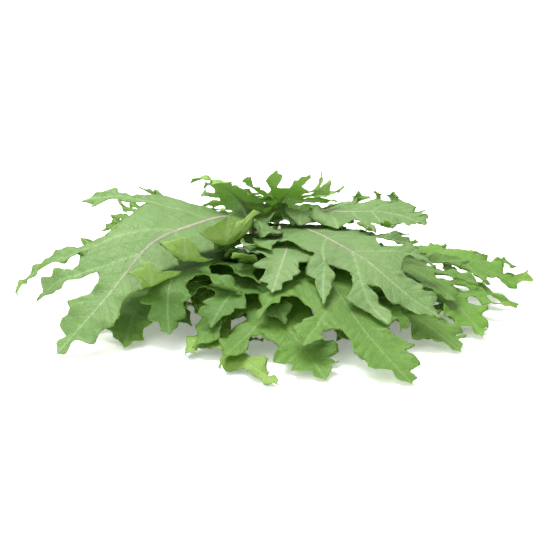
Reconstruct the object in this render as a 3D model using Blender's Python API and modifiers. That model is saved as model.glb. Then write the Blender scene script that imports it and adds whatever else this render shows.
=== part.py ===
"""A bunch of lobed kale, lying on a surface: eighteen leaves whose stalks an elastic band holds.

Metres, +Z up, the surface at z = 0. The stalks lie at the back (+Y), and the leaves fan out to the
left (-X), the front (-Y) and the right (+X). Each leaf is drawn flat first, from its midrib, its
side lobes and its head, then bent along the course of its midrib, and last laid on what is below.
"""
import math

import bmesh
import bpy
import numpy as np

# Driving dimensions
BLADE_THICK = 0.0008       # thickness of the blade
STALK_THICK = 0.0050       # thickness of the stalk, and of the midrib where the blade starts
STALK_HALF = 0.0027        # half the stalk's width
MIDRIB_TAPER = 0.75        # share of its width that the midrib loses by the tip
MIDRIB_THINNER = 0.5       # share of its thickness that it loses over the first fifth of the blade
TIP_HALF = 0.0010          # half the width of a lobe's blunt tip
CLEARANCE = 0.0006         # air between a leaf and what it lies on
FLOOR_GAP = 0.0003         # air between the lowest leaf tips and the surface

BAND_Y = 0.145             # middle of the elastic band
BAND_WIDE = 0.007          # width of the band along the stalks
BAND_THICK = 0.0012
STALK_PITCH = 0.0066       # from stalk to stalk across the bunch
ROW_PITCH = 0.0061         # from row to row, upwards
ROWS = (5, 5, 4, 4)        # stalks in each row, from the lowest
BACK_Y = 0.170             # where the stalks are cut
PACKED_Y = 0.130           # where they start to spread

HEART = np.array([0.0, 0.02, -0.10])   # the leaves lie round this point like the skins of an onion
MIDDLE = np.array([0.0080, -0.0021, 0.0])  # middle of the bunch's outline: the part's origin
LEAN = 60.0                # how fast the leaves lean outwards, with their distance and their height
FAN_START = 0.125          # the stalks are packed side by side behind this y
FAN_END = 0.085            # and lie on one another in front of this one

# One side of a leaf: where each lobe leaves the midrib, its angle to it, its length, its half
# width and the depth of the notch in front of it, as fractions of the blade's length
LOBE_ROOT = np.array([0.07, 0.20, 0.33, 0.47, 0.61])
LOBE_ANGLE = np.radians([75, 68, 61, 54, 47])
LOBE_LENGTH = np.array([0.15, 0.27, 0.37, 0.39, 0.33])
LOBE_HALF = np.array([0.022, 0.029, 0.032, 0.033, 0.031])
NOTCH = np.array([0.02, 0.06, 0.085, 0.10, 0.105, 0.09])
SHORTEST_LOBE = 0.012      # beyond the notches on both sides, in metres
LOBE_BEND = np.array([0.0, 0.0, 0.6, 1.0, 1.0])   # how much of its bend and twist each lobe keeps
HEAD_START = 0.69          # where the head of the leaf leaves the midrib
HEAD_HALF = 0.066
HEAD_TEETH = ((0.34, 0.036, 0.20), (0.64, 0.026, 0.15), (0.86, 0.010, 0.08))

# Rows and columns of points: from the midrib to the notches, from there to the lobes' tips,
# across half a lobe, along the head and along the stalk
WEB_ROWS = 1
LOBE_ROWS = 3
HALF_LOBE = 1
HEAD_COLUMNS = 4
STALK_COLUMNS = 9

CELL = 0.0125              # cell of the map of what lies below, as a slope seen from HEART
MAP_HALF = 2.9
COURSE_SPREAD = 12         # samples of its course over which a midrib that is held up stays smooth
LOBE_DIP = 0.003           # how much further than its foot a lobe may be pushed up
LOBE_LIFT = math.radians(12)
LOBE_STEEPEST = math.radians(55)
SPREAD = 4                 # cells over which a leaf that is held up stays smooth

LEAVES = [
    dict(slot=(0, 1), seed=11, cup=3,
         course=[(-0.040, 0.095, 0.008), (-0.068, 0.04, 0.016), (-0.090, -0.03, 0.018),
                 (-0.098, -0.092, 0.003)]),
    dict(slot=(0, 2), seed=12, cup=-2, bend=(0, 30), wide=0.14, slim=0.38, web=0.35,
         face_down=True,
         course=[(-0.004, 0.08, 0.007), (-0.02, 0.0, 0.010), (-0.034, -0.07, 0.011),
                 (-0.020, -0.125, 0.009), (0.011, -0.177, 0.002)]),
    dict(slot=(0, 3), seed=13, cup=3,
         course=[(0.024, 0.09, 0.008), (0.06, 0.01, 0.017), (0.10, -0.05, 0.016),
                 (0.134, -0.098, 0.002)]),
    dict(slot=(0, 4), seed=14, cup=2,
         course=[(0.045, 0.095, 0.009), (0.09, 0.04, 0.022), (0.125, -0.01, 0.020),
                 (0.152, -0.068, 0.003)]),
    dict(slot=(1, 4), seed=15, cup=2, bend=(-20, 40), stalk=0.10, wide=0.5, slim=0.65, web=1.2,
         roll=-10,
         course=[(0.05, 0.105, 0.016), (0.105, 0.075, 0.028), (0.140, 0.052, 0.018),
                 (0.162, 0.038, 0.004), (0.178, 0.034, 0.008), (0.192, 0.030, 0.022)],
         lobes={"left": {3: dict(angle=0.85, length=0.060, bend=-0.6, start=0.1, zone=0.9),
                          4: dict(length=0.048)}}),
    dict(slot=(0, 0), seed=16, cup=2, bend=(-20, 40), stalk=0.10,
         course=[(-0.055, 0.11, 0.016), (-0.095, 0.075, 0.030), (-0.13, 0.05, 0.036),
                 (-0.158, 0.035, 0.036)]),
    dict(slot=(1, 2), seed=17, cup=3, wide=0.85,
         course=[(0.0, 0.09, 0.019), (-0.006, 0.02, 0.026), (0.002, -0.06, 0.026),
                 (0.022, -0.115, 0.014), (0.040, -0.163, 0.002)],
         lobes={"right": {3: dict(length=0.082, bend=-0.5, half=0.012),
                          4: dict(length=0.078, bend=-0.5, half=0.011)}}),
    dict(slot=(2, 1), seed=18, cup=4, bend=(-65, -25), web=1.4,
         course=[(-0.01, 0.09, 0.026), (-0.012, 0.03, 0.032), (-0.015, -0.04, 0.036),
                 (-0.027, -0.075, 0.028), (-0.038, -0.095, 0.008)]),
    dict(slot=(1, 1), seed=19, cup=4,
         course=[(-0.028, 0.09, 0.022), (-0.044, 0.03, 0.034), (-0.057, -0.03, 0.038),
                 (-0.066, -0.07, 0.028), (-0.066, -0.10, 0.006)]),
    dict(slot=(1, 3), seed=20, cup=4, wide=0.7,
         course=[(0.012, 0.09, 0.024), (0.03, 0.02, 0.036), (0.045, -0.06, 0.042),
                 (0.064, -0.112, 0.025), (0.096, -0.171, 0.002)]),
    dict(slot=(2, 2), seed=23, cup=3, bend=(-30, 10), wide=1.15, web=1.4,
         course=[(0.020, 0.09, 0.027), (0.058, 0.04, 0.038), (0.10, 0.0, 0.036),
                 (0.135, -0.045, 0.022)]),
    dict(slot=(3, 1), seed=25, cup=6, wide=0.85, web=1.5, stalk=0.083,
         course=[(0.002, 0.09, 0.036), (0.010, 0.035, 0.046), (0.014, -0.015, 0.050),
                 (0.010, -0.055, 0.046), (0.002, -0.085, 0.030)],
         lobes={"left": {0: dict(length=0.045, half=0.010), 1: dict(length=0.050)},
                "right": {0: dict(length=0.045, half=0.010), 1: dict(length=0.060, half=0.012)}}),
    dict(slot=(1, 0), seed=22, cup=3, bend=(-30, 30), stalk=0.09, roll=20, web=1.4,
         course=[(-0.045, 0.10, 0.034), (-0.07, 0.075, 0.050), (-0.095, 0.058, 0.056),
                 (-0.124, 0.044, 0.052)],
         lobes={"left": {0: dict(length=0.036, bend=-0.6), 1: dict(length=0.045, bend=-0.7),
                         2: dict(length=0.050, bend=-0.8)},
                "right": {3: dict(angle=1.02, length=0.056, bend=0.9, start=0.2, zone=0.8),
                          2: dict(length=0.050, bend=0.5)}}),
    dict(slot=(2, 3), seed=36, cup=6, roll=-8, web=1.25,
         course=[(0.019, 0.09, 0.034), (0.03, 0.035, 0.053), (0.046, -0.02, 0.0555),
                 (0.070, -0.052, 0.049), (0.0925, -0.075, 0.039), (0.125, -0.09, 0.021)],
         lobes={"left": {4: dict(tip=(0.122, -0.02, 0.040)), 3: dict(tip=(0.112, 0.015, 0.046)),
                         2: dict(tip=(0.106, 0.030, 0.054))},
                "right": {0: dict(length=0.040, half=0.011, bend=-0.3, angle=1.3),
                          1: dict(length=0.044, half=0.010, bend=-0.3),
                          3: dict(tip=(0.039, -0.098, 0.034)),
                          4: dict(tip=(0.082, -0.112, 0.024))}}),
    dict(slot=(2, 0), seed=27, cup=5, stalk=0.10, bend=(-40, -10), roll=26, slim=0.75,
         course=[(-0.012, 0.09, 0.043), (-0.020, 0.05, 0.058), (-0.034, 0.016, 0.068),
                 (-0.056, -0.013, 0.070), (-0.081, -0.038, 0.064), (-0.10, -0.066, 0.047),
                 (-0.120, -0.09, 0.027), (-0.145, -0.108, 0.002)],
         lobes={"right": {1: dict(angle=1.25, length=0.076, bend=0.5, notch=(0.032, 0.036)),
                          2: dict(tip=(-0.137, 0.030, 0.078), notch=(0.077, 0.056),
                                 teeth=([(0.5, 0.004, 0.2)], [(0.6, 0.009, 0.2)])),
                          3: dict(tip=(-0.187, -0.030, 0.016), notch=(0.112, 0.042), half=0.007),
                          4: dict(angle=0.66, length=0.092, bend=-0.5, notch=(0.179, 0.037),
                                  half=0.005),
                          5: dict(notch=(0.188, 0.018))},
                "left": {0: dict(length=0.026),
                         1: dict(bend=1.5, start=0.1, zone=0.8, length=0.050, twist=0.0,
                                 half=0.010, notch=(0.036, 0.026)),
                         2: dict(bend=1.5, start=0.1, zone=0.8, length=0.056, twist=0.0,
                                 half=0.0115, notch=(0.071, 0.030)),
                         3: dict(bend=1.5, start=0.1, zone=0.8, length=0.056, twist=0.0,
                                 half=0.012, notch=(0.110, 0.030)),
                         4: dict(angle=0.80, bend=1.5, start=0.1, zone=0.8, length=0.050,
                                 twist=0.0, half=0.009, notch=(0.151, 0.028)),
                         5: dict(notch=(0.188, 0.016))}}),
    dict(slot=(3, 3), seed=21, cup=3, bend=(-30, 10), stalk=0.085, roll=-24, wide=1.3, slim=1.3,
         web=2.3,
         course=[(0.026, 0.10, 0.043), (0.052, 0.065, 0.051), (0.085, 0.046, 0.056),
                 (0.122, 0.030, 0.056)],
         lobes={"right": {0: dict(length=0.045, half=0.010, bend=-0.4, angle=1.5),
                          1: dict(length=0.056, half=0.012, bend=-0.5),
                          2: dict(length=0.056, half=0.012, bend=-0.5)},
                "left": {2: dict(tip=(0.067, 0.088, 0.072)), 3: dict(tip=(0.083, 0.083, 0.073)),
                         4: dict(tip=(0.097, 0.075, 0.073))}}),
    dict(slot=(3, 0), seed=24, cup=3, bend=(-60, -20), stalk=0.075, slim=0.9, web=1.6,
         course=[(-0.0105, 0.120, 0.028), (-0.012, 0.108, 0.041), (-0.016, 0.085, 0.060),
                 (-0.022, 0.062, 0.074), (-0.034, 0.052, 0.086), (-0.046, 0.050, 0.091),
                 (-0.058, 0.050, 0.087)]),
    dict(slot=(3, 2), seed=28, cup=-4, bend=(0, 30), stalk=0.07, wide=1.4, web=1.5,
         course=[(0.010, 0.112, 0.050), (0.011, 0.085, 0.060), (0.013, 0.062, 0.068),
                 (0.020, 0.048, 0.079), (0.032, 0.042, 0.095)],
         lobes={"left": {0: dict(angle=1.5, length=0.036, bend=-0.6),
                         1: dict(angle=1.3, length=0.044, bend=-0.7)},
                "right": {0: dict(angle=1.5, length=0.036, bend=-0.6),
                          1: dict(angle=1.3, length=0.044, bend=-0.7)}}),
]

LEAF_GREENS = ((0.10, 0.24, 0.045), (0.14, 0.30, 0.07), (0.08, 0.20, 0.04), (0.17, 0.33, 0.09))
BAND_COLOUR = (0.45, 0.30, 0.14)


def ease(x):
    """Goes from 0 to 1 with a level start and end."""
    x = np.clip(x, 0.0, 1.0)
    return x * x * (3.0 - 2.0 * x)


def unit(v):
    return v / (np.linalg.norm(v, axis=-1, keepdims=True) + 1e-12)


def smooth_course(points, samples=300):
    """A natural cubic spline through the points, evenly sampled by chord length."""
    p = np.array(points, float)
    h = np.linalg.norm(np.diff(p, axis=0), axis=1)
    t = np.concatenate([[0.0], np.cumsum(h)])
    n = len(p)
    m = np.eye(n)
    rhs = np.zeros((n, 3))
    for i in range(1, n - 1):
        m[i, i - 1:i + 2] = h[i - 1], 2.0 * (h[i - 1] + h[i]), h[i]
        rhs[i] = 6.0 * ((p[i + 1] - p[i]) / h[i] - (p[i] - p[i - 1]) / h[i - 1])
    curl = np.linalg.solve(m, rhs)
    s = np.linspace(0.0, t[-1], samples)
    k = np.clip(np.searchsorted(t, s) - 1, 0, n - 2)
    step = h[k][:, None]
    left = (s - t[k])[:, None]
    right = step - left
    bow = (curl[k] * right ** 3 + curl[k + 1] * left ** 3) / (6.0 * step)
    start = (p[k] / step - curl[k] * step / 6.0) * right
    end = (p[k + 1] / step - curl[k + 1] * step / 6.0) * left
    return bow + start + end


def stalk_start(slot):
    """The straight stretch of a stalk through the band, from its row and its place in it."""
    row, place = slot
    x = (place - 0.5 * (ROWS[row] - 1)) * STALK_PITCH
    z = BAND_THICK + 0.0012 + 0.5 * STALK_THICK + row * ROW_PITCH
    return [(x, BACK_Y, z), (x, BAND_Y, z), (x, PACKED_Y, z)]


def rib_half(a, blade):
    """Half the midrib's width at the distance a from the foot of the blade."""
    return STALK_HALF * (1.0 - MIDRIB_TAPER * np.clip(a / blade, 0.0, 1.0))


def tooth(q, at, span):
    return ease(1.0 - np.abs(q - at) / span) ** 0.8


def lobe_edge(notch, tip, half, teeth, q):
    """One edge of a lobe in its own axes: a round notch, a swelling, teeth and a narrow tip."""
    keep = np.clip(1.0 - q / 0.25, 0.0, 1.0) ** 2
    swell = half * (0.60 + 0.40 * np.sin(np.pi * q ** 1.5)) * (1.0 - q ** 2.6) ** 0.75
    out = keep * abs(notch[1]) + (1.0 - keep) * swell + TIP_HALF * q
    along = notch[0] + (tip - notch[0]) * q
    for at, size, span in teeth:
        peak = tooth(q, at, span)
        out = out + size * peak
        along = along + 0.8 * size * peak * (1.0 - q)
    return along, out


def draw_teeth(rng, blade, count):
    return [(rng.uniform(0.3, 0.8), rng.uniform(0.012, 0.03) * blade, rng.uniform(0.14, 0.24))
            for _ in range(count)]


def lobe_bounds(root, head):
    """Where each lobe's share of the midrib starts and ends."""
    return np.concatenate([[0.0], 0.5 * (root[1:] + root[:-1]), [head]])


def spread_columns(root, bound, k):
    """Places along the midrib of the columns of lobe k."""
    c = np.linspace(-1.0, 1.0, 2 * HALF_LOBE + 1)
    rise, fall = root[k] - bound[k], bound[k + 1] - root[k]
    return root[k] + np.where(c < 0, rise, fall) * c


def draw_side(leaf, rng, own):
    """The numbers of one side of a leaf: each lobe a little unlike the pattern, or its own."""
    blade = leaf["blade"]
    count = len(LOBE_ROOT)
    root = LOBE_ROOT * blade * (1.0 + rng.uniform(-0.02, 0.02, count))
    angle = LOBE_ANGLE + np.radians(rng.uniform(-3, 3, count))
    length = LOBE_LENGTH * blade * leaf.get("wide", 1.0) * rng.uniform(0.86, 1.12, count)
    half = LOBE_HALF * blade * leaf.get("slim", 1.0) * rng.uniform(0.82, 1.02, count)
    depth = NOTCH * blade * leaf.get("web", 1.0) * rng.uniform(0.85, 1.2, count + 1)
    head = HEAD_START * blade
    bound = lobe_bounds(root, head)
    lean = np.concatenate([[np.radians(80)], 0.5 * (angle[1:] + angle[:-1]), [np.radians(42)]])
    across = STALK_HALF + depth * np.sin(lean)
    notch = np.stack([bound + depth * np.cos(lean), across], 1)
    bend = np.radians(rng.uniform(*leaf.get("bend", (-35, 10)), count))
    start = rng.uniform(0.1, 0.5, count)
    zone = rng.uniform(0.5, 1.0, count)
    twist = np.radians(rng.uniform(-45, 45, count))
    teeth = [(draw_teeth(rng, blade, min(k, 2)), draw_teeth(rng, blade, min(k, 1)))
             for k in range(count)]
    head_half = HEAD_HALF * blade * leaf.get("slim", 1.0) * rng.uniform(0.85, 1.0)
    side = dict(root=root, angle=angle, length=length, half=half, bound=bound, notch=notch,
                head=head, bend=bend * LOBE_BEND, start=start, zone=zone, twist=twist * LOBE_BEND,
                teeth=teeth, head_half=head_half,
                head_at=rng.uniform(-0.05, 0.05, len(HEAD_TEETH)),
                head_size=rng.uniform(0.5, 1.3, len(HEAD_TEETH)), aimed=set())
    for k, numbers in own.items():
        for name, value in numbers.items():
            if name != "tip":
                side[name][k] = value
        side["aimed"].add(k)
    return side


def bend_lobe(x, y, h, foot, tip, bend, start, zone, twist):
    """Turns a lobe about its own vein, then bends it up or down over a part of its length."""
    turn = twist * np.clip((x - foot) / (tip - foot), 0.0, 1.0)
    h, y = h * np.cos(turn) + y * np.sin(turn), y * np.cos(turn) - h * np.sin(turn)
    begin = foot + start * (tip - foot)
    reach = zone * (tip - begin)
    bend = bend if abs(bend) > 1e-4 else 1e-4
    angle = bend * np.clip((x - begin) / reach, 0.0, 1.0)
    radius = reach / bend
    past = np.clip(x - begin - reach, 0.0, None)
    bent_x = begin + (radius - h) * np.sin(angle) + past * np.cos(bend)
    bent_h = radius * (1.0 - np.cos(angle)) + h * np.cos(angle) + past * np.sin(bend)
    ahead = x > begin
    return np.where(ahead, bent_x, x), y, np.where(ahead, bent_h, h)


def lobe_strip(side, k, blade):
    """Points of lobe k, as rows from the midrib to its tip: (along, across, height)."""
    axis = np.array([math.cos(side["angle"][k]), math.sin(side["angle"][k])])
    back = np.array([-axis[1], axis[0]])
    root = np.array([side["root"][k], 0.0])
    before, after = side["notch"][k], side["notch"][k + 1]
    before_own = np.array([(before - root) @ axis, (before - root) @ back])
    after_own = np.array([(after - root) @ axis, (after - root) @ back])
    foot = 0.5 * (before_own[0] + after_own[0])
    tip = max(side["length"][k], before_own[0] + SHORTEST_LOBE, after_own[0] + SHORTEST_LOBE)

    c = np.linspace(-1.0, 1.0, 2 * HALF_LOBE + 1)
    even_root = LOBE_ROOT * blade
    middle = spread_columns(even_root, lobe_bounds(even_root, side["head"]), k)
    along = spread_columns(side["root"], side["bound"], k)
    rib = np.stack([along, rib_half(along, blade)], 1)
    inner = [np.stack([middle, 0.0 * middle], 1), rib]
    outer_end = np.where((c < 0)[:, None], before, after)
    end = root + axis * foot
    end = end + (outer_end - end) * np.abs(c)[:, None]
    for row in range(1, WEB_ROWS + 1):
        inner.append(rib + (end - rib) * row / WEB_ROWS)

    q = np.arange(1, LOBE_ROWS + 1) / LOBE_ROWS
    near_teeth, far_teeth = side["teeth"][k]
    near_x, near_y = lobe_edge(before_own, tip, side["half"][k], near_teeth, q)
    far_x, far_y = lobe_edge(after_own, tip, side["half"][k], far_teeth, q)
    vein = (foot + (tip - foot) * q)[:, None]
    edge_x = np.where(c < 0, near_x[:, None], far_x[:, None])
    edge_y = np.where(c < 0, near_y[:, None], -far_y[:, None])
    x = vein + (edge_x - vein) * np.abs(c)
    y = edge_y * np.abs(c)
    h = 0.12 * np.abs(y) * ease(2.0 * (x - foot) / (tip - foot))
    x, y, h = bend_lobe(x, y, h, foot, tip, side["bend"][k], side["start"][k],
                        side["zone"][k], side["twist"][k])
    free = root + x[..., None] * axis + y[..., None] * back
    inner = np.stack(inner)
    web = np.concatenate([inner, np.zeros(inner.shape[:2] + (1,))], 2)
    return np.concatenate([web, np.concatenate([free, h[..., None]], 2)], 0)


def head_strip(side, blade):
    """Points of one half of the leaf's head, as rows from the midrib to its toothed edge."""
    notch = side["notch"][-1]
    q = np.linspace(0.0, 1.0, HEAD_COLUMNS + 1)
    half = side["head_half"]
    keep = np.clip(1.0 - q / 0.2, 0.0, 1.0) ** 2
    swell = half * (1.0 - q ** 2.4) ** 0.85 * (0.75 + 0.25 * np.sin(np.pi * q ** 0.8))
    across = keep * notch[1] + (1.0 - keep) * swell
    along = notch[0] + (blade - notch[0]) * q
    for (at, size, span), shift, grow in zip(HEAD_TEETH, side["head_at"], side["head_size"]):
        peak = tooth(q, at + shift, span)
        size = size * blade * grow
        across = across + size * peak
        along = along + 0.75 * size * peak
    across[-1] = 0.0
    along[-1] = blade
    end = np.stack([along, across], 1)
    foot = side["head"] + (blade - 0.004 - side["head"]) * q
    rib = np.stack([foot, np.minimum(rib_half(foot, blade), 0.5 * across)], 1)
    rib[0] = side["head"], rib_half(side["head"], blade)
    rib[-1] = foot[-1], 0.0
    rows = [np.stack([foot, 0.0 * foot], 1), rib]
    for row in range(1, WEB_ROWS + 1):
        rows.append(rib + (end - rib) * row / WEB_ROWS)
    flat = np.stack(rows)
    h = 0.10 * flat[..., 1] * ease(5.0 * q) * ease(4.0 * (1.0 - q))
    h[:2] = 0.0
    return np.concatenate([flat, h[..., None]], 2)


def stalk_strip(stalk):
    """Points of one half of the stalk."""
    along = np.linspace(-stalk, 0.0, STALK_COLUMNS + 1)
    rows = [np.stack([along, 0.0 * along + w, 0.0 * along], 1) for w in (0.0, STALK_HALF)]
    return np.stack(rows)


def split_quads(points, first, a, b, c, d):
    """Two triangles for each quad, cut along the diagonal that leaves the larger smallest one."""
    ways = [(np.stack([a, b, c], 1), np.stack([a, c, d], 1)),
            (np.stack([a, b, d], 1), np.stack([b, c, d], 1))]
    smallest = []
    for way in ways:
        area = []
        for corners in way:
            u = points[corners[:, 1] - first] - points[corners[:, 0] - first]
            v = points[corners[:, 2] - first] - points[corners[:, 0] - first]
            area.append(v[:, 0] * u[:, 1] - v[:, 1] * u[:, 0])
        smallest.append(np.minimum(*area))
    other = (smallest[1] > smallest[0])[:, None]
    return np.concatenate([np.where(other, ways[1][i], ways[0][i]) for i in (0, 1)])


def flat_leaf(leaf, sides):
    """The whole flat leaf, both sides welded: points, triangles, and the lobe of each triangle.

    Lobes are numbered through both sides, and -1 is the leaf's middle, head and stalk.
    """
    points, triangles, lobes, total = [], [], [], 0
    count = len(LOBE_ROOT)
    for hand, side in zip((1, -1), sides):
        strips = [lobe_strip(side, k, leaf["blade"]) for k in range(count)]
        strips += [head_strip(side, leaf["blade"]), stalk_strip(leaf["stalk"])]
        for k, strip in enumerate(strips):
            rows, columns = strip.shape[:2]
            ids = total + np.arange(rows * columns).reshape(rows, columns)
            corner = [ids[:-1, :-1], ids[:-1, 1:], ids[1:, 1:], ids[1:, :-1]]
            pair = split_quads(strip.reshape(-1, 3), total, *(i.ravel() for i in corner))
            row = np.tile(np.repeat(np.arange(rows - 1), columns - 1), 2)
            number = k + (count if hand < 0 else 0)
            free = (row > WEB_ROWS) & (k < count)
            lobes.append(np.where(free, number, -1))
            triangles.append(pair[:, ::hand])
            points.append(strip.reshape(-1, 3) * [1, hand, 1])
            total += rows * columns
    points = np.concatenate(points)
    triangles = np.concatenate(triangles)
    lobes = np.concatenate(lobes)
    key = np.round(points * 1e6).astype(np.int64)
    _, first, back = np.unique(key, axis=0, return_index=True, return_inverse=True)
    triangles = back.ravel()[triangles]
    a, b, c = triangles.T
    whole = (a != b) & (b != c) & (c != a)
    return points[first], triangles[whole], lobes[whole]


def bend_leaf(leaf, points):
    """Bends the flat leaf along its course: its edges drop away from the midrib in an arc."""
    course = leaf["line"]
    step = np.linalg.norm(np.diff(course, axis=0), axis=1)
    s = np.concatenate([[0.0], np.cumsum(step)]) - leaf["stalk"]
    ahead = unit(np.gradient(course, s, axis=0))
    lean = LEAN * np.clip(course[:, 2], 0.0, None)
    up = np.stack([lean * course[:, 0], lean * (course[:, 1] - HEART[1]), 1.0 + 0.0 * lean], 1)
    if leaf.get("face_down"):
        up = -up
    up = unit(up - (up * ahead).sum(1)[:, None] * ahead)
    left = np.cross(up, ahead)
    roll = math.radians(leaf.get("roll", 0.0)) * ease((s + 0.02) / (0.4 * leaf["blade"]))
    up, left = (up * np.cos(roll)[:, None] + left * np.sin(roll)[:, None],
                left * np.cos(roll)[:, None] - up * np.sin(roll)[:, None])
    a, b, h = points.T

    def at(values):
        return np.stack([np.interp(a, s, values[:, i]) for i in range(3)], 1)

    ahead_a, up_a, left_a = at(ahead), unit(at(up)), unit(at(left))
    middle = at(course) + ahead_a * np.clip(a - s[-1], 0.0, None)[:, None]
    cup = leaf["cup"] * ease(a / (0.25 * leaf["blade"])) + 1e-3
    turn = cup * np.abs(b)
    out = np.sign(b)[:, None] * left_a
    across = out * (np.sin(turn) / cup)[:, None]
    drop = up_a * ((1.0 - np.cos(turn)) / cup)[:, None]
    skin = up_a * np.cos(turn)[:, None] + out * np.sin(turn)[:, None]
    return middle + across - drop + skin * h[:, None]


def half_thickness(leaf, points):
    """Half the thickness at each flat point: the stalk, the midrib and the thin blade."""
    a, b = points[:, 0], np.abs(points[:, 1])
    width = rib_half(a, leaf["blade"])
    thin = 1.0 - MIDRIB_THINNER * ease(a / (0.2 * leaf["blade"]))
    middle = 0.5 * STALK_THICK * thin * width / STALK_HALF * np.clip(1.25 - b / width, 0.0, 1.0)
    stalk_edge = np.where(a < 0.0, 0.3 * STALK_THICK, 0.0)
    return np.maximum(np.maximum(middle, stalk_edge), 0.5 * BLADE_THICK)


def slopes(points):
    """Where a point is seen from HEART: two slopes, and its height above it."""
    d = points - HEART
    return d[..., 0] / d[..., 2], d[..., 1] / d[..., 2], d[..., 2]


def cells(x, y):
    size = int(2 * MAP_HALF / CELL)
    i = np.clip(((x + MAP_HALF) / CELL).astype(int), 0, size - 1)
    j = np.clip(((y + MAP_HALF) / CELL).astype(int), 0, size - 1)
    return i, j


def sample_surface(points, triangles, half, count=12):
    """Many points on each triangle, with the height that half the thickness takes up there."""
    g = (np.arange(count) + 1.0 / 3.0) / count
    u, v = (w.ravel() for w in np.meshgrid(g, g))
    inside = u + v < 1.0
    weights = np.stack([1.0 - u - v, u, v], 1)[inside]
    corner = points[triangles]
    spots = np.einsum("sk,tkd->tsd", weights, corner)
    normal = unit(np.cross(corner[:, 1] - corner[:, 0], corner[:, 2] - corner[:, 0]))
    x, y, height = slopes(spots)
    ray = np.stack([x, y, np.ones_like(x)], -1)
    facing = np.clip(np.abs((normal[:, None] * ray).sum(-1)), 0.5, 1.0)
    thick = np.einsum("sk,tk->ts", weights, half[triangles])
    return weights, spots, x, y, height, thick / facing, CLEARANCE / facing


def widen(field, reach):
    for axis in (0, 1):
        out = field
        for shift in range(1, reach + 1):
            pair = np.maximum(np.roll(field, shift, axis), np.roll(field, -shift, axis))
            out = np.maximum(out, pair)
        field = out
    return field


def blur(field, reach):
    for axis in (0, 1):
        field = sum(np.roll(field, s, axis) for s in range(-reach, reach + 1)) / (2 * reach + 1)
    return field


def packed(points):
    """0 where the stalks are packed side by side, 1 where the leaves lie on one another."""
    return 1.0 - ease((points[..., 1] - FAN_END) / (FAN_START - FAN_END))


def spread_out(values, reach):
    """Smooths a row of heights without going below any of them, much."""
    for _ in range(2):
        wide = np.pad(values, reach, mode="edge")
        values = np.lib.stride_tricks.sliding_window_view(wide, 2 * reach + 1).max(1)
    wide = np.pad(values, 2 * reach, mode="edge")
    return np.convolve(wide, np.ones(4 * reach + 1) / (4 * reach + 1), mode="valid")


def lift_course(leaf, sides, ground, tries=4):
    """Lifts the midrib until the middle of the leaf lies clear of all that is below it."""
    flat, triangles, lobes = flat_leaf(leaf, sides)
    half = half_thickness(leaf, flat)
    samples = len(leaf["line"])
    for _ in range(tries):
        points = bend_leaf(leaf, flat)
        weights, spots, x, y, height, thick, air = sample_surface(points, triangles, half, 6)
        lack = np.clip(ground[cells(x, y)] + thick + air - height, 0.0, None) * packed(spots)
        lack[lobes >= 0] = 0.0
        along = np.einsum("sk,tk->ts", weights, flat[triangles][:, :, 0])
        share = (along + leaf["stalk"]) / (leaf["blade"] + leaf["stalk"])
        place = np.clip((share * samples).astype(int), 0, samples - 1)
        need = np.zeros(samples)
        np.maximum.at(need, place, lack)
        push = spread_out(need, COURSE_SPREAD) * packed(leaf["line"])
        away = leaf["line"] - HEART
        leaf["line"] = leaf["line"] + away * (push / away[:, 2])[:, None]


def aim_lobe(leaf, side, hand, k, target, tries=8):
    """Finds the angle, the length and the bend of a lobe that put its tip at a point.

    Each try nudges the three in turn, sees how far the tip moves, and steps towards the target.
    """
    names = ("angle", "length", "bend")
    nudges = (0.02, 0.002, 0.04)
    steps = (0.3, 0.02, 0.4)
    limits = ((0.35, 2.0), (0.02, 0.14), (-2.4, 2.4))

    def tip():
        point = lobe_strip(side, k, leaf["blade"])[-1, HALF_LOBE] * [1, hand, 1]
        return bend_leaf(leaf, point[None])[0]

    for _ in range(tries):
        here = tip()
        slope = []
        for name, nudge in zip(names, nudges):
            side[name][k] += nudge
            slope.append((tip() - here) / nudge)
            side[name][k] -= nudge
        matrix = np.array(slope).T
        damp = np.diag([1e-5, 1e-3, 1e-5])
        step = np.linalg.solve(matrix.T @ matrix + damp, matrix.T @ (target - here))
        for name, change, most, (low, high) in zip(names, step, steps, limits):
            side[name][k] = np.clip(side[name][k] + np.clip(change, -most, most), low, high)


def fit_lobes(leaf, sides, ground, tries=9):
    """Bends each lobe upwards until it dips no deeper than its foot into what lies below."""
    count = len(LOBE_ROOT)
    lift = -LOBE_LIFT if leaf.get("face_down") else LOBE_LIFT
    for _ in range(tries):
        flat, triangles, lobes = flat_leaf(leaf, sides)
        half = half_thickness(leaf, flat)
        points = bend_leaf(leaf, flat)
        _, _, x, y, height, thick, air = sample_surface(points, triangles, half, 4)
        dip = (ground[cells(x, y)] + thick + air - height).max(1)
        moved = False
        for number in range(2 * count):
            side = sides[number // count]
            own = dip[lobes == number]
            foot = own[:2 * HALF_LOBE].max()
            k = number % count
            steep = abs(side["bend"][k]) > LOBE_STEEPEST or k in side["aimed"]
            if own.max() > max(foot, 0.0) + LOBE_DIP and not steep:
                side["bend"][k] += lift
                moved = True
        if not moved:
            break
    return flat, triangles, half


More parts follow.
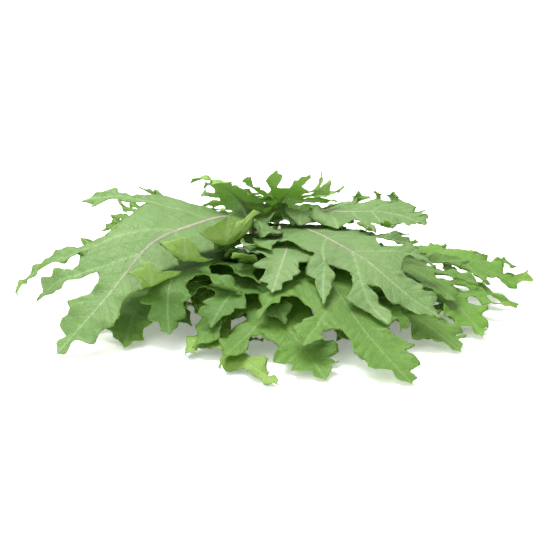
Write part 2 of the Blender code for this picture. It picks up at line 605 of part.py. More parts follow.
def lay_leaf(points, triangles, half, ground, rounds=4):
    """Moves a leaf away from HEART until it lies clear of all that is below it."""
    for _ in range(rounds):
        _, spots, x, y, height, thick, air = sample_surface(points, triangles, half)
        i, j = cells(x, y)
        lack = np.clip(ground[i, j] + thick + air - height, 0.0, None) * packed(spots)
        field = np.zeros_like(ground)
        np.maximum.at(field, (i, j), lack)
        field = blur(widen(field, SPREAD), SPREAD)
        x, y, height = slopes(points)
        push = field[cells(x, y)] * packed(points)
        points = points + (points - HEART) * (push / height)[:, None]
    for _ in range(3 * rounds):
        weights, spots, x, y, height, thick, air = sample_surface(points, triangles, half)
        lack = np.clip(ground[cells(x, y)] + thick + air - height, 0.0, None) * packed(spots)
        share = weights / (weights ** 2).sum(1)[:, None]
        worst = (lack[:, :, None] * share).max(1)
        push = np.zeros(len(points))
        np.maximum.at(push, triangles.ravel(), worst.ravel())
        points = points + (points - HEART) * (push / slopes(points)[2])[:, None]
    return points


def raise_ground(points, triangles, half, ground):
    _, _, x, y, height, thick, _ = sample_surface(points, triangles, half)
    np.maximum.at(ground, cells(x, y), height + thick)


def plain_material(name, colour, roughness):
    material = bpy.data.materials.new(name)
    material.use_nodes = True
    shader = material.node_tree.nodes["Principled BSDF"]
    shader.inputs["Base Color"].default_value = (*colour, 1.0)
    shader.inputs["Roughness"].default_value = roughness
    shader.inputs["Metallic"].default_value = 0.0
    return material


def add_object(name, points, faces, material, collection):
    mesh = bpy.data.meshes.new(name)
    corners = [tuple(p) for p in np.asarray(points) - MIDDLE]
    mesh.from_pydata(corners, [], [tuple(int(i) for i in f) for f in faces])
    mesh.materials.append(material)
    obj = bpy.data.objects.new(name, mesh)
    collection.objects.link(obj)
    return obj


def add_leaf(name, points, triangles, half, colour, collection):
    """A leaf: its bent sheet, thickest along the midrib and the stalk."""
    obj = add_object(name, points, triangles, plain_material(name, colour, 0.6), collection)
    group = obj.vertex_groups.new(name="thickness")
    for index, value in enumerate(half):
        group.add([index], float(2.0 * value / STALK_THICK), "REPLACE")
    solid = obj.modifiers.new("blade", "SOLIDIFY")
    solid.thickness = STALK_THICK
    solid.offset = 0.0
    solid.vertex_group = group.name
    obj.data.shade_smooth()


def add_leaves(collection):
    size = int(2 * MAP_HALF / CELL)
    ground = np.full((size, size), FLOOR_GAP - HEART[2] - CLEARANCE)
    for number, leaf in enumerate(LEAVES):
        leaf = dict(leaf)
        leaf.setdefault("stalk", 0.095)
        leaf["line"] = smooth_course(stalk_start(leaf["slot"]) + leaf["course"])
        length = np.linalg.norm(np.diff(leaf["line"], axis=0), axis=1).sum()
        leaf["blade"] = length - leaf["stalk"]
        rng = np.random.default_rng(leaf["seed"])
        own = [leaf.get("lobes", {}).get(hand, {}) for hand in ("left", "right")]
        sides = [draw_side(leaf, rng, numbers) for numbers in own]
        lift_course(leaf, sides, ground)
        for hand, side, lobes in zip((1, -1), sides, own):
            for k, numbers in lobes.items():
                if "tip" in numbers:
                    aim_lobe(leaf, side, hand, k, np.array(numbers["tip"]))
        flat, triangles, half = fit_lobes(leaf, sides, ground)
        points = lay_leaf(bend_leaf(leaf, flat), triangles, half, ground)
        raise_ground(points, triangles, half, ground)
        colour = LEAF_GREENS[number % len(LEAF_GREENS)]
        add_leaf(f"leaf_{number + 1:02d}", points, triangles, half, colour, collection)


def add_tie(collection):
    """The elastic band: a flat loop with round corners, which fits round the stalks."""
    half_wide = 0.5 * max(ROWS) * STALK_PITCH + BAND_THICK + 0.0012
    top = 2.0 * (BAND_THICK + 0.0012) + (len(ROWS) - 1) * ROW_PITCH + STALK_THICK
    corner = 0.006
    turn = np.linspace(0.0, 0.5 * np.pi, 6)
    loop = []
    for sx, sz, start in ((1, 1, 0.0), (-1, 1, 0.5), (-1, -1, 1.0), (1, -1, 1.5)):
        cx = sx * (half_wide - corner)
        cz = 0.5 * top + sz * (0.5 * top - corner)
        angle = turn + start * np.pi
        loop += list(zip(cx + corner * np.cos(angle), cz + corner * np.sin(angle)))
    count = len(loop)
    points = [(x, BAND_Y + y, z) for y in (-0.5 * BAND_WIDE, 0.5 * BAND_WIDE) for x, z in loop]
    faces = [(i, (i + 1) % count, count + (i + 1) % count, count + i) for i in range(count)]
    obj = add_object("tie", points, faces, plain_material("tie", BAND_COLOUR, 0.7), collection)
    mesh = bmesh.new()
    mesh.from_mesh(obj.data)
    bmesh.ops.recalc_face_normals(mesh, faces=mesh.faces)
    mesh.to_mesh(obj.data)
    mesh.free()
    band = obj.modifiers.new("band", "SOLIDIFY")
    band.thickness = BAND_THICK
    band.offset = -1.0
    band.use_even_offset = True


def main():
    for obj in list(bpy.data.objects):
        bpy.data.objects.remove(obj, do_unlink=True)
    collection = bpy.data.collections.new("kale")
    bpy.context.scene.collection.children.link(collection)
    add_leaves(collection)
    add_tie(collection)


main()
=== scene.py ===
import math

import bpy
import numpy as np
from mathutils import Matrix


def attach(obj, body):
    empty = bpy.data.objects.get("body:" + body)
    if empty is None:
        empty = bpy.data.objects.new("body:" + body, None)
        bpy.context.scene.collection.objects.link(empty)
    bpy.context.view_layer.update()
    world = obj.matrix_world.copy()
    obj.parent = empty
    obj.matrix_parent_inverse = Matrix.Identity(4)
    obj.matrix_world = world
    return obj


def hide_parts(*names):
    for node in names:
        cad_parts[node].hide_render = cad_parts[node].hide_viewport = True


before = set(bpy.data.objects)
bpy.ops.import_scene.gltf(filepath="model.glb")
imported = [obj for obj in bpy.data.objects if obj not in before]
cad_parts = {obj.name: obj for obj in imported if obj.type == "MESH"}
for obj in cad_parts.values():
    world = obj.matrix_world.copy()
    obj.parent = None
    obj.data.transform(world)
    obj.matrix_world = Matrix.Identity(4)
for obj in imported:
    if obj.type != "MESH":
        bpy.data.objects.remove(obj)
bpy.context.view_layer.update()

# The table and the light: a plain white table top under a large soft lamp, in a white room, as in
# a studio. The camera looks down at it by 15 degrees from the front, with a long lens.
VIEW_DOWN = math.radians(15.0)
VIEW_FAR = 1.5
PIXELS = 533
METRES_A_PIXEL = 0.00073
SENSOR_WIDTH = 36.0
TABLE_HALF = 6.0
VIEW_TARGET = np.array([-0.0080, 0.0021, 0.0366])


def add_object(name, data):
    """Makes an object of a mesh, lamp or camera and puts it in the scene."""
    made = bpy.data.objects.new(name, data)
    bpy.context.scene.collection.objects.link(made)
    return made


camera_data = bpy.data.cameras.new("camera")
camera_data.sensor_width = SENSOR_WIDTH
camera_data.lens = VIEW_FAR / METRES_A_PIXEL * SENSOR_WIDTH / PIXELS
camera_data.clip_end = 50.0
camera = add_object("camera", camera_data)
away = np.array([0.0, -math.cos(VIEW_DOWN), math.sin(VIEW_DOWN)])
camera.location = VIEW_TARGET + VIEW_FAR * away
camera.rotation_euler = (math.pi / 2 - VIEW_DOWN, 0.0, 0.0)
bpy.context.scene.camera = camera
bpy.context.scene.view_settings.view_transform = "Standard"

room = bpy.data.worlds.new("white room")
room.use_nodes = True
room.node_tree.nodes["Background"].inputs["Color"].default_value = (1.0, 1.0, 1.0, 1.0)
room.node_tree.nodes["Background"].inputs["Strength"].default_value = 1.0
bpy.context.scene.world = room


def hang_lamp(name, at, aim, size, power):
    """A square soft lamp at a point, turned to face another one."""
    data = bpy.data.lights.new(name, "AREA")
    data.shape = "SQUARE"
    data.size = size
    data.energy = power
    lamp = add_object(name, data)
    ray = np.array(aim) - np.array(at)
    lamp.location = at
    lamp.rotation_euler = (math.atan2(math.hypot(ray[0], ray[1]), -ray[2]), 0.0,
                           math.atan2(-ray[0], ray[1]))


def new_material(name, roughness):
    """A material with its nodes: the material, its node tree and its main shader."""
    material = bpy.data.materials.new(name)
    material.use_nodes = True
    shader = material.node_tree.nodes["Principled BSDF"]
    shader.inputs["Roughness"].default_value = roughness
    return material, material.node_tree, shader


hang_lamp("top lamp", at=(-0.3, 0.2, 1.5), aim=(0.0, 0.0, 0.0), size=0.9, power=40.0)
hang_lamp("front lamp", at=(-0.6, -1.5, 1.1), aim=(0.0, 0.0, 0.03), size=1.0, power=12.5)

table_mesh = bpy.data.meshes.new("table")
table_corners = [(x * TABLE_HALF, y * TABLE_HALF, 0.0)
                 for x, y in ((-1, -1), (1, -1), (1, 1), (-1, 1))]
table_mesh.from_pydata(table_corners, [], [(0, 1, 2, 3)])
table_white, _, table_paint = new_material("table white", 0.9)
table_paint.inputs["Base Color"].default_value = (0.93, 0.93, 0.93, 1.0)
table_paint.inputs["Emission Color"].default_value = (1.0, 1.0, 1.0, 1.0)
table_paint.inputs["Emission Strength"].default_value = 0.22
table_mesh.materials.append(table_white)
table = add_object("table", table_mesh)


# How a leaf grows: the blade, midrib and stalk of a kale leaf are one piece. The flat blade is cut
# into lobes on both sides, each with its own vein, and ends in a broad toothed head. Here it is
# drawn flat in strips, one for each lobe, one for each half of the head and of the stalk.
STALK_HALF = 0.0027
STALK_THICK = 0.0050
STALK_EDGE = 0.12
MIDRIB_TAPER = 0.75
MIDRIB_THINNER = 0.5
BLADE_THICK = 0.0005
TIP_HALF = 0.0007
SHORTEST_LOBE = 0.012
# The pattern's lobes from the foot up: their places, lengths, halves and notches as shares of the
# blade's length, and how much of its bend and twist each one takes.
LOBE_ROOT = np.array([0.07, 0.20, 0.33, 0.47, 0.61])
LOBE_ANGLE = np.radians([75, 68, 61, 54, 47])
LOBE_LENGTH = np.array([0.15, 0.27, 0.37, 0.39, 0.33])
LOBE_HALF = np.array([0.022, 0.029, 0.032, 0.033, 0.031])
LOBE_FREE = np.array([0.0, 0.0, 0.6, 1.0, 1.0])
LOBE_RISE = 0.12
NOTCH = np.array([0.02, 0.06, 0.085, 0.10, 0.105, 0.09])
FIRST_LEAN = np.radians(80)
LAST_LEAN = np.radians(42)
HEAD_START = 0.69
HEAD_HALF = 0.066
HEAD_RISE = 0.10
# Teeth: where they stand on the way to the tip, their size and their span, as shares.
HEAD_TEETH = ((0.34, 0.036, 0.20), (0.64, 0.026, 0.15), (0.86, 0.010, 0.08))
TOOTH_AT = (0.3, 0.8)
TOOTH_SIZE = (0.012, 0.03)
TOOTH_SPAN = (0.14, 0.24)
RAG_PITCH = 0.0085
RAG_HEIGHT = 0.0017
LONG_WAVE = 0.030
SHORT_WAVE = 0.0115
# Rows and columns of the strips: few to lay a leaf out, many for the leaf itself.
COARSE = dict(rib=1, web=1, lobe=3, half=1, head=4, stalk=9, detail=0.0)
FINE = dict(rib=3, web=10, lobe=36, half=7, head=60, stalk=24, detail=1.0)


def ease(x):
    """Goes from 0 to 1 with a level start and end: three squares less two cubes."""
    x = np.clip(x, 0.0, 1.0)
    return x * x * (3.0 - 2.0 * x)


def unit(v):
    """Vectors divided by their lengths."""
    return v / (np.linalg.norm(v, axis=-1, keepdims=True) + 1e-12)


def rib_half(a, blade):
    """Half the midrib's width: the stalk's at the foot, less 75% of it by the tip."""
    return STALK_HALF * (1.0 - MIDRIB_TAPER * np.clip(a / blade, 0.0, 1.0))


def tooth(q, at, span):
    """A blunt rise of height 1 at a place, which falls smoothly to 0 a span away from it."""
    return ease(1.0 - np.abs(q - at) / span) ** 0.8


def lobe_edge(notch, tip, half, teeth, q):
    """One edge of a lobe in its own axes: a round notch, a swelling, teeth and a narrow tip."""
    keep = np.clip(1.0 - q / 0.25, 0.0, 1.0) ** 2
    swell = half * (0.60 + 0.40 * np.sin(np.pi * q ** 1.5)) * (1.0 - q ** 2.6) ** 0.75
    out = keep * abs(notch[1]) + (1.0 - keep) * swell + TIP_HALF * q
    along = notch[0] + (tip - notch[0]) * q
    for at, size, span in teeth:
        peak = tooth(q, at, span)
        out = out + size * peak
        along = along + 0.8 * size * peak * (1.0 - q)
    return along, out


def lobe_bounds(root, head):
    """Where each lobe's share of the midrib starts and ends: halfway between the roots."""
    return np.concatenate([[0.0], 0.5 * (root[1:] + root[:-1]), [head]])


def spread_columns(root, bound, k, c):
    """Places along the midrib of the columns of lobe k, from bound to bound through its root."""
    rise, fall = root[k] - bound[k], bound[k + 1] - root[k]
    return root[k] + np.where(c < 0, rise, fall) * c


def draw_teeth(rng, blade, count):
    """Place, size and span of some teeth."""
    return [(rng.uniform(*TOOTH_AT), rng.uniform(*TOOTH_SIZE) * blade, rng.uniform(*TOOTH_SPAN))
            for _ in range(count)]


def draw_side(leaf, rng, own):
    """The numbers of one side of a leaf: the pattern's, a little changed, and then its own."""
    blade = leaf["blade"]
    count = len(LOBE_ROOT)
    root = LOBE_ROOT * blade * (1.0 + rng.uniform(-0.02, 0.02, count))
    angle = LOBE_ANGLE + np.radians(rng.uniform(-3, 3, count))
    length = LOBE_LENGTH * blade * leaf["wide"] * rng.uniform(0.86, 1.12, count)
    half = LOBE_HALF * blade * leaf["slim"] * rng.uniform(0.82, 1.02, count)
    depth = NOTCH * blade * leaf["web"] * rng.uniform(0.85, 1.2, count + 1)
    head = HEAD_START * blade
    bound = lobe_bounds(root, head)
    lean = np.concatenate([[FIRST_LEAN], 0.5 * (angle[1:] + angle[:-1]), [LAST_LEAN]])
    across = STALK_HALF + depth * np.sin(lean)
    notch = np.stack([bound + depth * np.cos(lean), across], 1)
    bend = np.radians(rng.uniform(*leaf["bend"], count))
    start = rng.uniform(0.1, 0.5, count)
    zone = rng.uniform(0.5, 1.0, count)
    twist = np.radians(rng.uniform(-45, 45, count))
    bend, twist = bend * LOBE_FREE, twist * LOBE_FREE
    teeth = [(draw_teeth(rng, blade, min(k, 2)), draw_teeth(rng, blade, min(k, 1)))
             for k in range(count)]
    side = dict(root=root, angle=angle, length=length, half=half, bound=bound, notch=notch,
                head=head, bend=bend, start=start, zone=zone, twist=twist, teeth=teeth,
                head_half=HEAD_HALF * blade * leaf["slim"] * rng.uniform(0.85, 1.0),
                head_at=rng.uniform(-0.05, 0.05, len(HEAD_TEETH)),
                head_size=rng.uniform(0.5, 1.3, len(HEAD_TEETH)), phase=rng.uniform(0.0, 6.28),
                aimed=set())
    for k, numbers in own.items():
        for name, value in numbers.items():
            if name != "tip":
                side[name][k] = value
        side["aimed"].add(k)
    return side


def bend_lobe(x, y, h, foot, tip, bend, start, zone, twist):
    """Turns a lobe about its own vein, then bends it up or down in an arc over its zone."""
    turn = twist * np.clip((x - foot) / (tip - foot), 0.0, 1.0)
    h, y = h * np.cos(turn) + y * np.sin(turn), y * np.cos(turn) - h * np.sin(turn)
    begin = foot + start * (tip - foot)
    reach = zone * (tip - begin)
    bend = bend if abs(bend) > 1e-4 else 1e-4
    angle = bend * np.clip((x - begin) / reach, 0.0, 1.0)
    radius = reach / bend
    past = np.clip(x - begin - reach, 0.0, None)
    bent_x = begin + (radius - h) * np.sin(angle) + past * np.cos(bend)
    bent_h = radius * (1.0 - np.cos(angle)) + h * np.cos(angle) + past * np.sin(bend)
    ahead = x > begin
    return np.where(ahead, bent_x, x), y, np.where(ahead, bent_h, h)


def frill(x, y, share, phase, leaf, detail):
    """Waves that grow with the square of the share of the way to the margin, long and short."""
    size = leaf["frill"] * (1.0 + 0.25 * detail)
    long_wave = np.sin(x * (2 * np.pi / LONG_WAVE) + phase)
    short_wave = 0.35 * np.sin(x * (2 * np.pi / SHORT_WAVE) + 2.3 * phase + 90.0 * y)
    return size * share ** 2 * (long_wave + short_wave)


def ragged(distance, phase, blade):
    """How far small teeth stand out of the margin: each rises slowly and falls at once, every 9 mm
    or so, and a slower wave makes some of them large and leaves others out."""
    step = distance / RAG_PITCH + 0.6 * np.sin(distance * 140.0 + phase) + phase
    saw = np.mod(step, 1.0)
    shape = saw ** 1.5 * ease((1.0 - saw) / 0.22)
    size = 0.35 + 0.65 * np.sin(distance * 95.0 + 2.7 * phase) ** 2
    return min(RAG_HEIGHT, 0.010 * blade) * size * shape


def lobe_strip(leaf, side, k, res):
    """Lobe k as rows of points from the midrib to its tip: along, across and height, and then
    the distances along and across its own vein, for the pattern of the fine veins."""
    blade = leaf["blade"]
    axis = np.array([math.cos(side["angle"][k]), math.sin(side["angle"][k])])
    back = np.array([-axis[1], axis[0]])
    root = np.array([side["root"][k], 0.0])
    before, after = side["notch"][k], side["notch"][k + 1]
    before_own = np.array([(before - root) @ axis, (before - root) @ back])
    after_own = np.array([(after - root) @ axis, (after - root) @ back])
    foot = 0.5 * (before_own[0] + after_own[0])
    tip = max(side["length"][k], before_own[0] + SHORTEST_LOBE, after_own[0] + SHORTEST_LOBE)

    c = np.linspace(-1.0, 1.0, 2 * res["half"] + 1)
    c = np.sign(c) * np.abs(c) ** 1.2
    even_root = LOBE_ROOT * blade
    middle = spread_columns(even_root, lobe_bounds(even_root, side["head"]), k, c)
    along = spread_columns(side["root"], side["bound"], k, c)
    rib = np.stack([along, rib_half(along, blade)], 1)
    centre = np.stack([middle, 0.0 * middle], 1)
    inner = [centre + (rib - centre) * (row / res["rib"]) for row in range(res["rib"] + 1)]
    outer_end = np.where((c < 0)[:, None], before, after)
    end = root + axis * foot
    end = end + (outer_end - end) * np.abs(c)[:, None]
    inner += [rib + (end - rib) * (row / res["web"]) for row in range(1, res["web"] + 1)]

    q = np.arange(1, res["lobe"] + 1) / res["lobe"]
    near_teeth, far_teeth = side["teeth"][k]
    near_x, near_y = lobe_edge(before_own, tip, side["half"][k], near_teeth, q)
    far_x, far_y = lobe_edge(after_own, tip, side["half"][k], far_teeth, q)
    phase = side["phase"] + 2.1 * k
    fringe = res["detail"] * ease(q / 0.2) * ease((1.0 - q) / 0.05)
    near_y = near_y + leaf["ragged"] * fringe * ragged(near_x, phase, blade)
    far_y = far_y + leaf["ragged"] * fringe * ragged(far_x, phase + 4.0, blade)
    vein = (foot + (tip - foot) * q)[:, None]
    edge_x = np.where(c < 0, near_x[:, None], far_x[:, None])
    edge_y = np.where(c < 0, near_y[:, None], -far_y[:, None])
    x = vein + (edge_x - vein) * np.abs(c)
    y = edge_y * np.abs(c)
    free = np.clip((x - foot) / (tip - foot), 0.0, 1.0)
    h = LOBE_RISE * np.abs(y) * ease(2.0 * free)
    waves = frill(x, y, np.abs(c), phase + 1.7 * (c > 0), leaf, res["detail"])
    h = h + waves * ease(3.0 * free)
    own_x, own_y = x, y
    x, y, h = bend_lobe(x, y, h, foot, tip, side["bend"][k], side["start"][k],
                        side["zone"][k], side["twist"][k])
    outer = root + x[..., None] * axis + y[..., None] * back
    inner = np.stack(inner)
    level = np.zeros(inner.shape[:2] + (1,))
    from_root = inner - root
    inner_own = np.stack([from_root @ axis, from_root @ back], -1)
    flat_outer = root + own_x[..., None] * axis + own_y[..., None] * back
    inner = np.concatenate([inner, level, inner_own, inner], 2)
    outer = np.concatenate([outer, h[..., None], own_x[..., None], own_y[..., None], flat_outer], 2)
    return np.concatenate([inner, outer], 0)


def head_strip(leaf, side, res):
    """One half of the leaf's head, as rows from the midrib to its edge: from the last notch the
    edge swells, carries the teeth, and falls to the tip."""
    blade = leaf["blade"]
    notch = side["notch"][-1]
    q = np.linspace(0.0, 1.0, res["head"] + 1)
    keep = np.clip(1.0 - q / 0.2, 0.0, 1.0) ** 2
    swell = side["head_half"] * (1.0 - q ** 2.4) ** 0.85 * (0.75 + 0.25 * np.sin(np.pi * q ** 0.8))
    across = keep * notch[1] + (1.0 - keep) * swell
    along = notch[0] + (blade - notch[0]) * q
    for (at, size, span), shift, grow in zip(HEAD_TEETH, side["head_at"], side["head_size"]):
        peak = tooth(q, at + shift, span)
        size = size * blade * grow
        across = across + size * peak
        along = along + 0.75 * size * peak
    fringe = res["detail"] * ease(q / 0.15) * ease((1.0 - q) / 0.08)
    across = across + leaf["ragged"] * fringe * ragged(along, side["phase"], blade)
    across[-1] = 0.0
    along[-1] = blade
    end = np.stack([along, across], 1)
    foot = side["head"] + (blade - 0.004 - side["head"]) * q
    rib = np.stack([foot, np.minimum(rib_half(foot, blade), 0.5 * across)], 1)
    rib[0] = side["head"], rib_half(side["head"], blade)
    rib[-1] = foot[-1], 0.0
    centre = np.stack([foot, 0.0 * foot], 1)
    rows = [centre + (rib - centre) * (row / res["rib"]) for row in range(res["rib"] + 1)]
    rows += [rib + (end - rib) * (row / res["web"]) for row in range(1, res["web"] + 1)]
    flat = np.stack(rows)
    share = np.concatenate([np.zeros(res["rib"] + 1), np.arange(1, res["web"] + 1) / res["web"]])
    h = frill(flat[..., 0], flat[..., 1], share[:, None], side["phase"], leaf, res["detail"])
    h = (h + HEAD_RISE * flat[..., 1] * share[:, None]) * ease(5.0 * q) * ease(4.0 * (1.0 - q))
    own = flat - [side["head"], 0.0]
    return np.concatenate([flat, h[..., None], own, flat], 2)


def stalk_strip(stalk, res):
    """One half of the stalk: straight rows from its middle line to its side."""
    along = np.linspace(-stalk, 0.0, res["stalk"] + 1)
    rows = [np.stack([along, 0.0 * along + STALK_HALF * row / res["rib"]], 1)
            for row in range(res["rib"] + 1)]
    flat = np.stack(rows)
    return np.concatenate([flat, np.zeros(flat.shape[:2] + (1,)), flat, flat], 2)


def split_quads(points, first, a, b, c, d):
    """Two triangles for each quad, cut along the diagonal that leaves the larger smallest one."""
    ways = [(np.stack([a, b, c], 1), np.stack([a, c, d], 1)),
            (np.stack([a, b, d], 1), np.stack([b, c, d], 1))]
    smallest = []
    for way in ways:
        area = []
        for corners in way:
            u = points[corners[:, 1] - first] - points[corners[:, 0] - first]
            v = points[corners[:, 2] - first] - points[corners[:, 0] - first]
            area.append(v[:, 0] * u[:, 1] - v[:, 1] * u[:, 0])
        smallest.append(np.minimum(*area))
    other = (smallest[1] > smallest[0])[:, None]
    return np.concatenate([np.where(other, ways[1][i], ways[0][i]) for i in (0, 1)])


def flat_leaf(leaf, sides, res):
    """The whole flat leaf, both sides welded: points with their seven numbers, triangles, and the
    lobe of each triangle, where -1 is the leaf's middle, head and stalk."""
    points, triangles, lobes, total = [], [], [], 0
    count = len(LOBE_ROOT)
    for hand, side in zip((1, -1), sides):
        strips = [lobe_strip(leaf, side, k, res) for k in range(count)]
        strips += [head_strip(leaf, side, res), stalk_strip(leaf["stalk"], res)]
        for k, strip in enumerate(strips):
            rows, columns = strip.shape[:2]
            ids = total + np.arange(rows * columns).reshape(rows, columns)
            corner = [ids[:-1, :-1], ids[:-1, 1:], ids[1:, 1:], ids[1:, :-1]]
            flat = strip.reshape(-1, 7)
            pair = split_quads(flat[:, 5:7], total, *(i.ravel() for i in corner))
            row = np.tile(np.repeat(np.arange(rows - 1), columns - 1), 2)
            free = (row >= res["rib"] + res["web"]) & (k < count)
            lobes.append(np.where(free, k + (count if hand < 0 else 0), -1))
            triangles.append(pair[:, ::hand])
            points.append(flat * [1, hand, 1, 1, hand, 1, hand])
            total += rows * columns
    points = np.concatenate(points)
    triangles = np.concatenate(triangles)
    lobes = np.concatenate(lobes)
    key = np.round(points[:, :3] * 1e6).astype(np.int64)
    _, first, back = np.unique(key, axis=0, return_index=True, return_inverse=True)
    triangles = back.ravel()[triangles]
    a, b, c = triangles.T
    whole = (a != b) & (b != c) & (c != a)
    return points[first], triangles[whole], lobes[whole]


# How the leaves lie: the stalks lie packed side by side in an elastic band at the back, and the
# leaves fan out from there and lie on one another, the lowest on the table. A leaf bends along
# the course of its midrib, and is held up by whatever is below it.
# Leaves are moved away from HEART. MIDDLE is the heap's middle, which goes to the origin. LEAN
# is how strongly a high part of a leaf faces outwards.
HEART = np.array([0.0, 0.02, -0.10])
MIDDLE = np.array([0.0080, -0.0021, 0.0])
LEAN = 60.0
# The stalks in the band: how far apart they are, how many in each row, and where they lie.
STALK_PITCH = 0.0066
ROW_PITCH = 0.0061
ROWS = (5, 5, 4, 4)
BACK_Y = 0.170
BAND_Y = 0.145
PACKED_Y = 0.130
BAND_THICK = 0.0012
BAND_AIR = 0.0012
FAN_START = 0.125
FAN_END = 0.085
# The map of what lies below: its cells are slopes as seen from HEART, a point under the table.
CLEARANCE = 0.0005
FLOOR_GAP = 0.0003
CELL = 0.0125
MAP_HALF = 2.9
MAP_SIZE = int(2 * MAP_HALF / CELL)
SPREAD = 4
COURSE_SPREAD = 12
LOBE_DIP = 0.003
LOBE_LIFT = math.radians(12)
LOBE_STEEPEST = math.radians(55)


def smooth_course(points, samples=300):
    """A natural cubic spline through the points: one system of equations gives its curvature."""
    p = np.array(points, float)
    h = np.linalg.norm(np.diff(p, axis=0), axis=1)
    t = np.concatenate([[0.0], np.cumsum(h)])
    n = len(p)
    m = np.eye(n)
    rhs = np.zeros((n, 3))
    for i in range(1, n - 1):
        m[i, i - 1:i + 2] = h[i - 1], 2.0 * (h[i - 1] + h[i]), h[i]
        rhs[i] = 6.0 * ((p[i + 1] - p[i]) / h[i] - (p[i] - p[i - 1]) / h[i - 1])
    curl = np.linalg.solve(m, rhs)
    s = np.linspace(0.0, t[-1], samples)
    k = np.clip(np.searchsorted(t, s) - 1, 0, n - 2)
    step = h[k][:, None]
    left = (s - t[k])[:, None]
    right = step - left
    bow = (curl[k] * right ** 3 + curl[k + 1] * left ** 3) / (6.0 * step)
    start = (p[k] / step - curl[k] * step / 6.0) * right
    end = (p[k + 1] / step - curl[k + 1] * step / 6.0) * left
    return bow + start + end


def stalk_start(slot):
    """The straight stretch of a stalk through the band, from its row and its place in it."""
    row, place = slot
    x = (place - 0.5 * (ROWS[row] - 1)) * STALK_PITCH
    z = BAND_THICK + BAND_AIR + 0.5 * STALK_THICK + row * ROW_PITCH
    return [(x, BACK_Y, z), (x, BAND_Y, z), (x, PACKED_Y, z)]


def bend_leaf(leaf, flat):
    """Bends the flat leaf along its course: its edges drop away from the midrib in an arc."""
    course = leaf["line"]
    step = np.linalg.norm(np.diff(course, axis=0), axis=1)
    s = np.concatenate([[0.0], np.cumsum(step)]) - leaf["stalk"]
    ahead = unit(np.gradient(course, s, axis=0))
    lean = LEAN * np.clip(course[:, 2], 0.0, None)
    up = np.stack([lean * course[:, 0], lean * (course[:, 1] - HEART[1]), 1.0 + 0.0 * lean], 1)
    if leaf["face_down"]:
        up = -up
    up = unit(up - (up * ahead).sum(1)[:, None] * ahead)
    left = np.cross(up, ahead)
    roll = math.radians(leaf["roll"]) * ease((s + 0.02) / (0.4 * leaf["blade"]))
    up, left = (up * np.cos(roll)[:, None] + left * np.sin(roll)[:, None],
                left * np.cos(roll)[:, None] - up * np.sin(roll)[:, None])
    a, b, h = flat[:, :3].T

    def at(values):
        return np.stack([np.interp(a, s, values[:, i]) for i in range(3)], 1)

    ahead_a, up_a, left_a = at(ahead), unit(at(up)), unit(at(left))
    middle = at(course) + ahead_a * np.clip(a - s[-1], 0.0, None)[:, None]
    cup = leaf["cup"] * ease(a / (0.25 * leaf["blade"])) + 1e-3
    turn = cup * np.abs(b)
    out = np.sign(b)[:, None] * left_a
    across = out * (np.sin(turn) / cup)[:, None]
    drop = up_a * ((1.0 - np.cos(turn)) / cup)[:, None]
    skin = up_a * np.cos(turn)[:, None] + out * np.sin(turn)[:, None]
    return middle + across - drop + skin * h[:, None]


def half_thickness(leaf, flat):
    """Half the thickness at each flat point: half an ellipse over the width of the stalk and the
    midrib, which gets thinner along the blade, and the thin blade's beside it."""
    a, b = flat[:, 0], np.abs(flat[:, 1])
    width = rib_half(a, leaf["blade"])
    rounded = np.sqrt(np.clip(1.0 - (b / width) ** 2, 0.0, 1.0))
    thin = 1.0 - MIDRIB_THINNER * ease(a / (0.2 * leaf["blade"]))
    middle = 0.5 * STALK_THICK * thin * width / STALK_HALF * rounded
    stalk_edge = np.where(a < 0.0, STALK_EDGE * STALK_THICK, 0.0)
    return np.maximum(np.maximum(middle, stalk_edge), 0.5 * BLADE_THICK)


def slopes(points):
    """Where a point is seen from HEART: two slopes, and its height above it."""
    d = points - HEART
    return d[..., 0] / d[..., 2], d[..., 1] / d[..., 2], d[..., 2]


def cells(x, y):
    """The cell of the map that each pair of slopes falls in."""
    return tuple(np.clip(((slope + MAP_HALF) / CELL).astype(int), 0, MAP_SIZE - 1)
                 for slope in (x, y))


def packed(points):
    """0 where the stalks are packed side by side, 1 where the leaves lie on one another."""
    return 1.0 - ease((points[..., 1] - FAN_END) / (FAN_START - FAN_END))


def sample_surface(points, triangles, half, count):
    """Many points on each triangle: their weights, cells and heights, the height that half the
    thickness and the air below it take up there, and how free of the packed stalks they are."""
    g = (np.arange(count) + 1.0 / 3.0) / count
    u, v = (w.ravel() for w in np.meshgrid(g, g))
    inside = u + v < 1.0
    weights = np.stack([1.0 - u - v, u, v], 1)[inside]
    corner = points[triangles]
    spots = np.einsum("sk,tkd->tsd", weights, corner)
    normal = unit(np.cross(corner[:, 1] - corner[:, 0], corner[:, 2] - corner[:, 0]))
    x, y, height = slopes(spots)
    ray = np.stack([x, y, np.ones_like(x)], -1)
    facing = np.clip(np.abs((normal[:, None] * ray).sum(-1)), 0.5, 1.0)
    thick = np.einsum("sk,tk->ts", weights, half[triangles])
    return weights, cells(x, y), height, thick / facing, CLEARANCE / facing, packed(spots)


def lack_of_height(points, triangles, half, ground, count):
    """How far each sample is below the height at which it would clear what is below it."""
    weights, place, height, thick, air, free = sample_surface(points, triangles, half, count)
    return weights, place, ground[place] + thick + air - height, free


def widen(field, reach):
    """Each cell takes the highest value within reach of it."""
    for axis in (0, 1):
        out = field
        for shift in range(1, reach + 1):
            pair = np.maximum(np.roll(field, shift, axis), np.roll(field, -shift, axis))
            out = np.maximum(out, pair)
        field = out
    return field


def blur(field, reach):
    """Each cell takes the mean of the cells within reach of it, along one axis, then the other."""
    for axis in (0, 1):
        field = sum(np.roll(field, s, axis) for s in range(-reach, reach + 1)) / (2 * reach + 1)
    return field


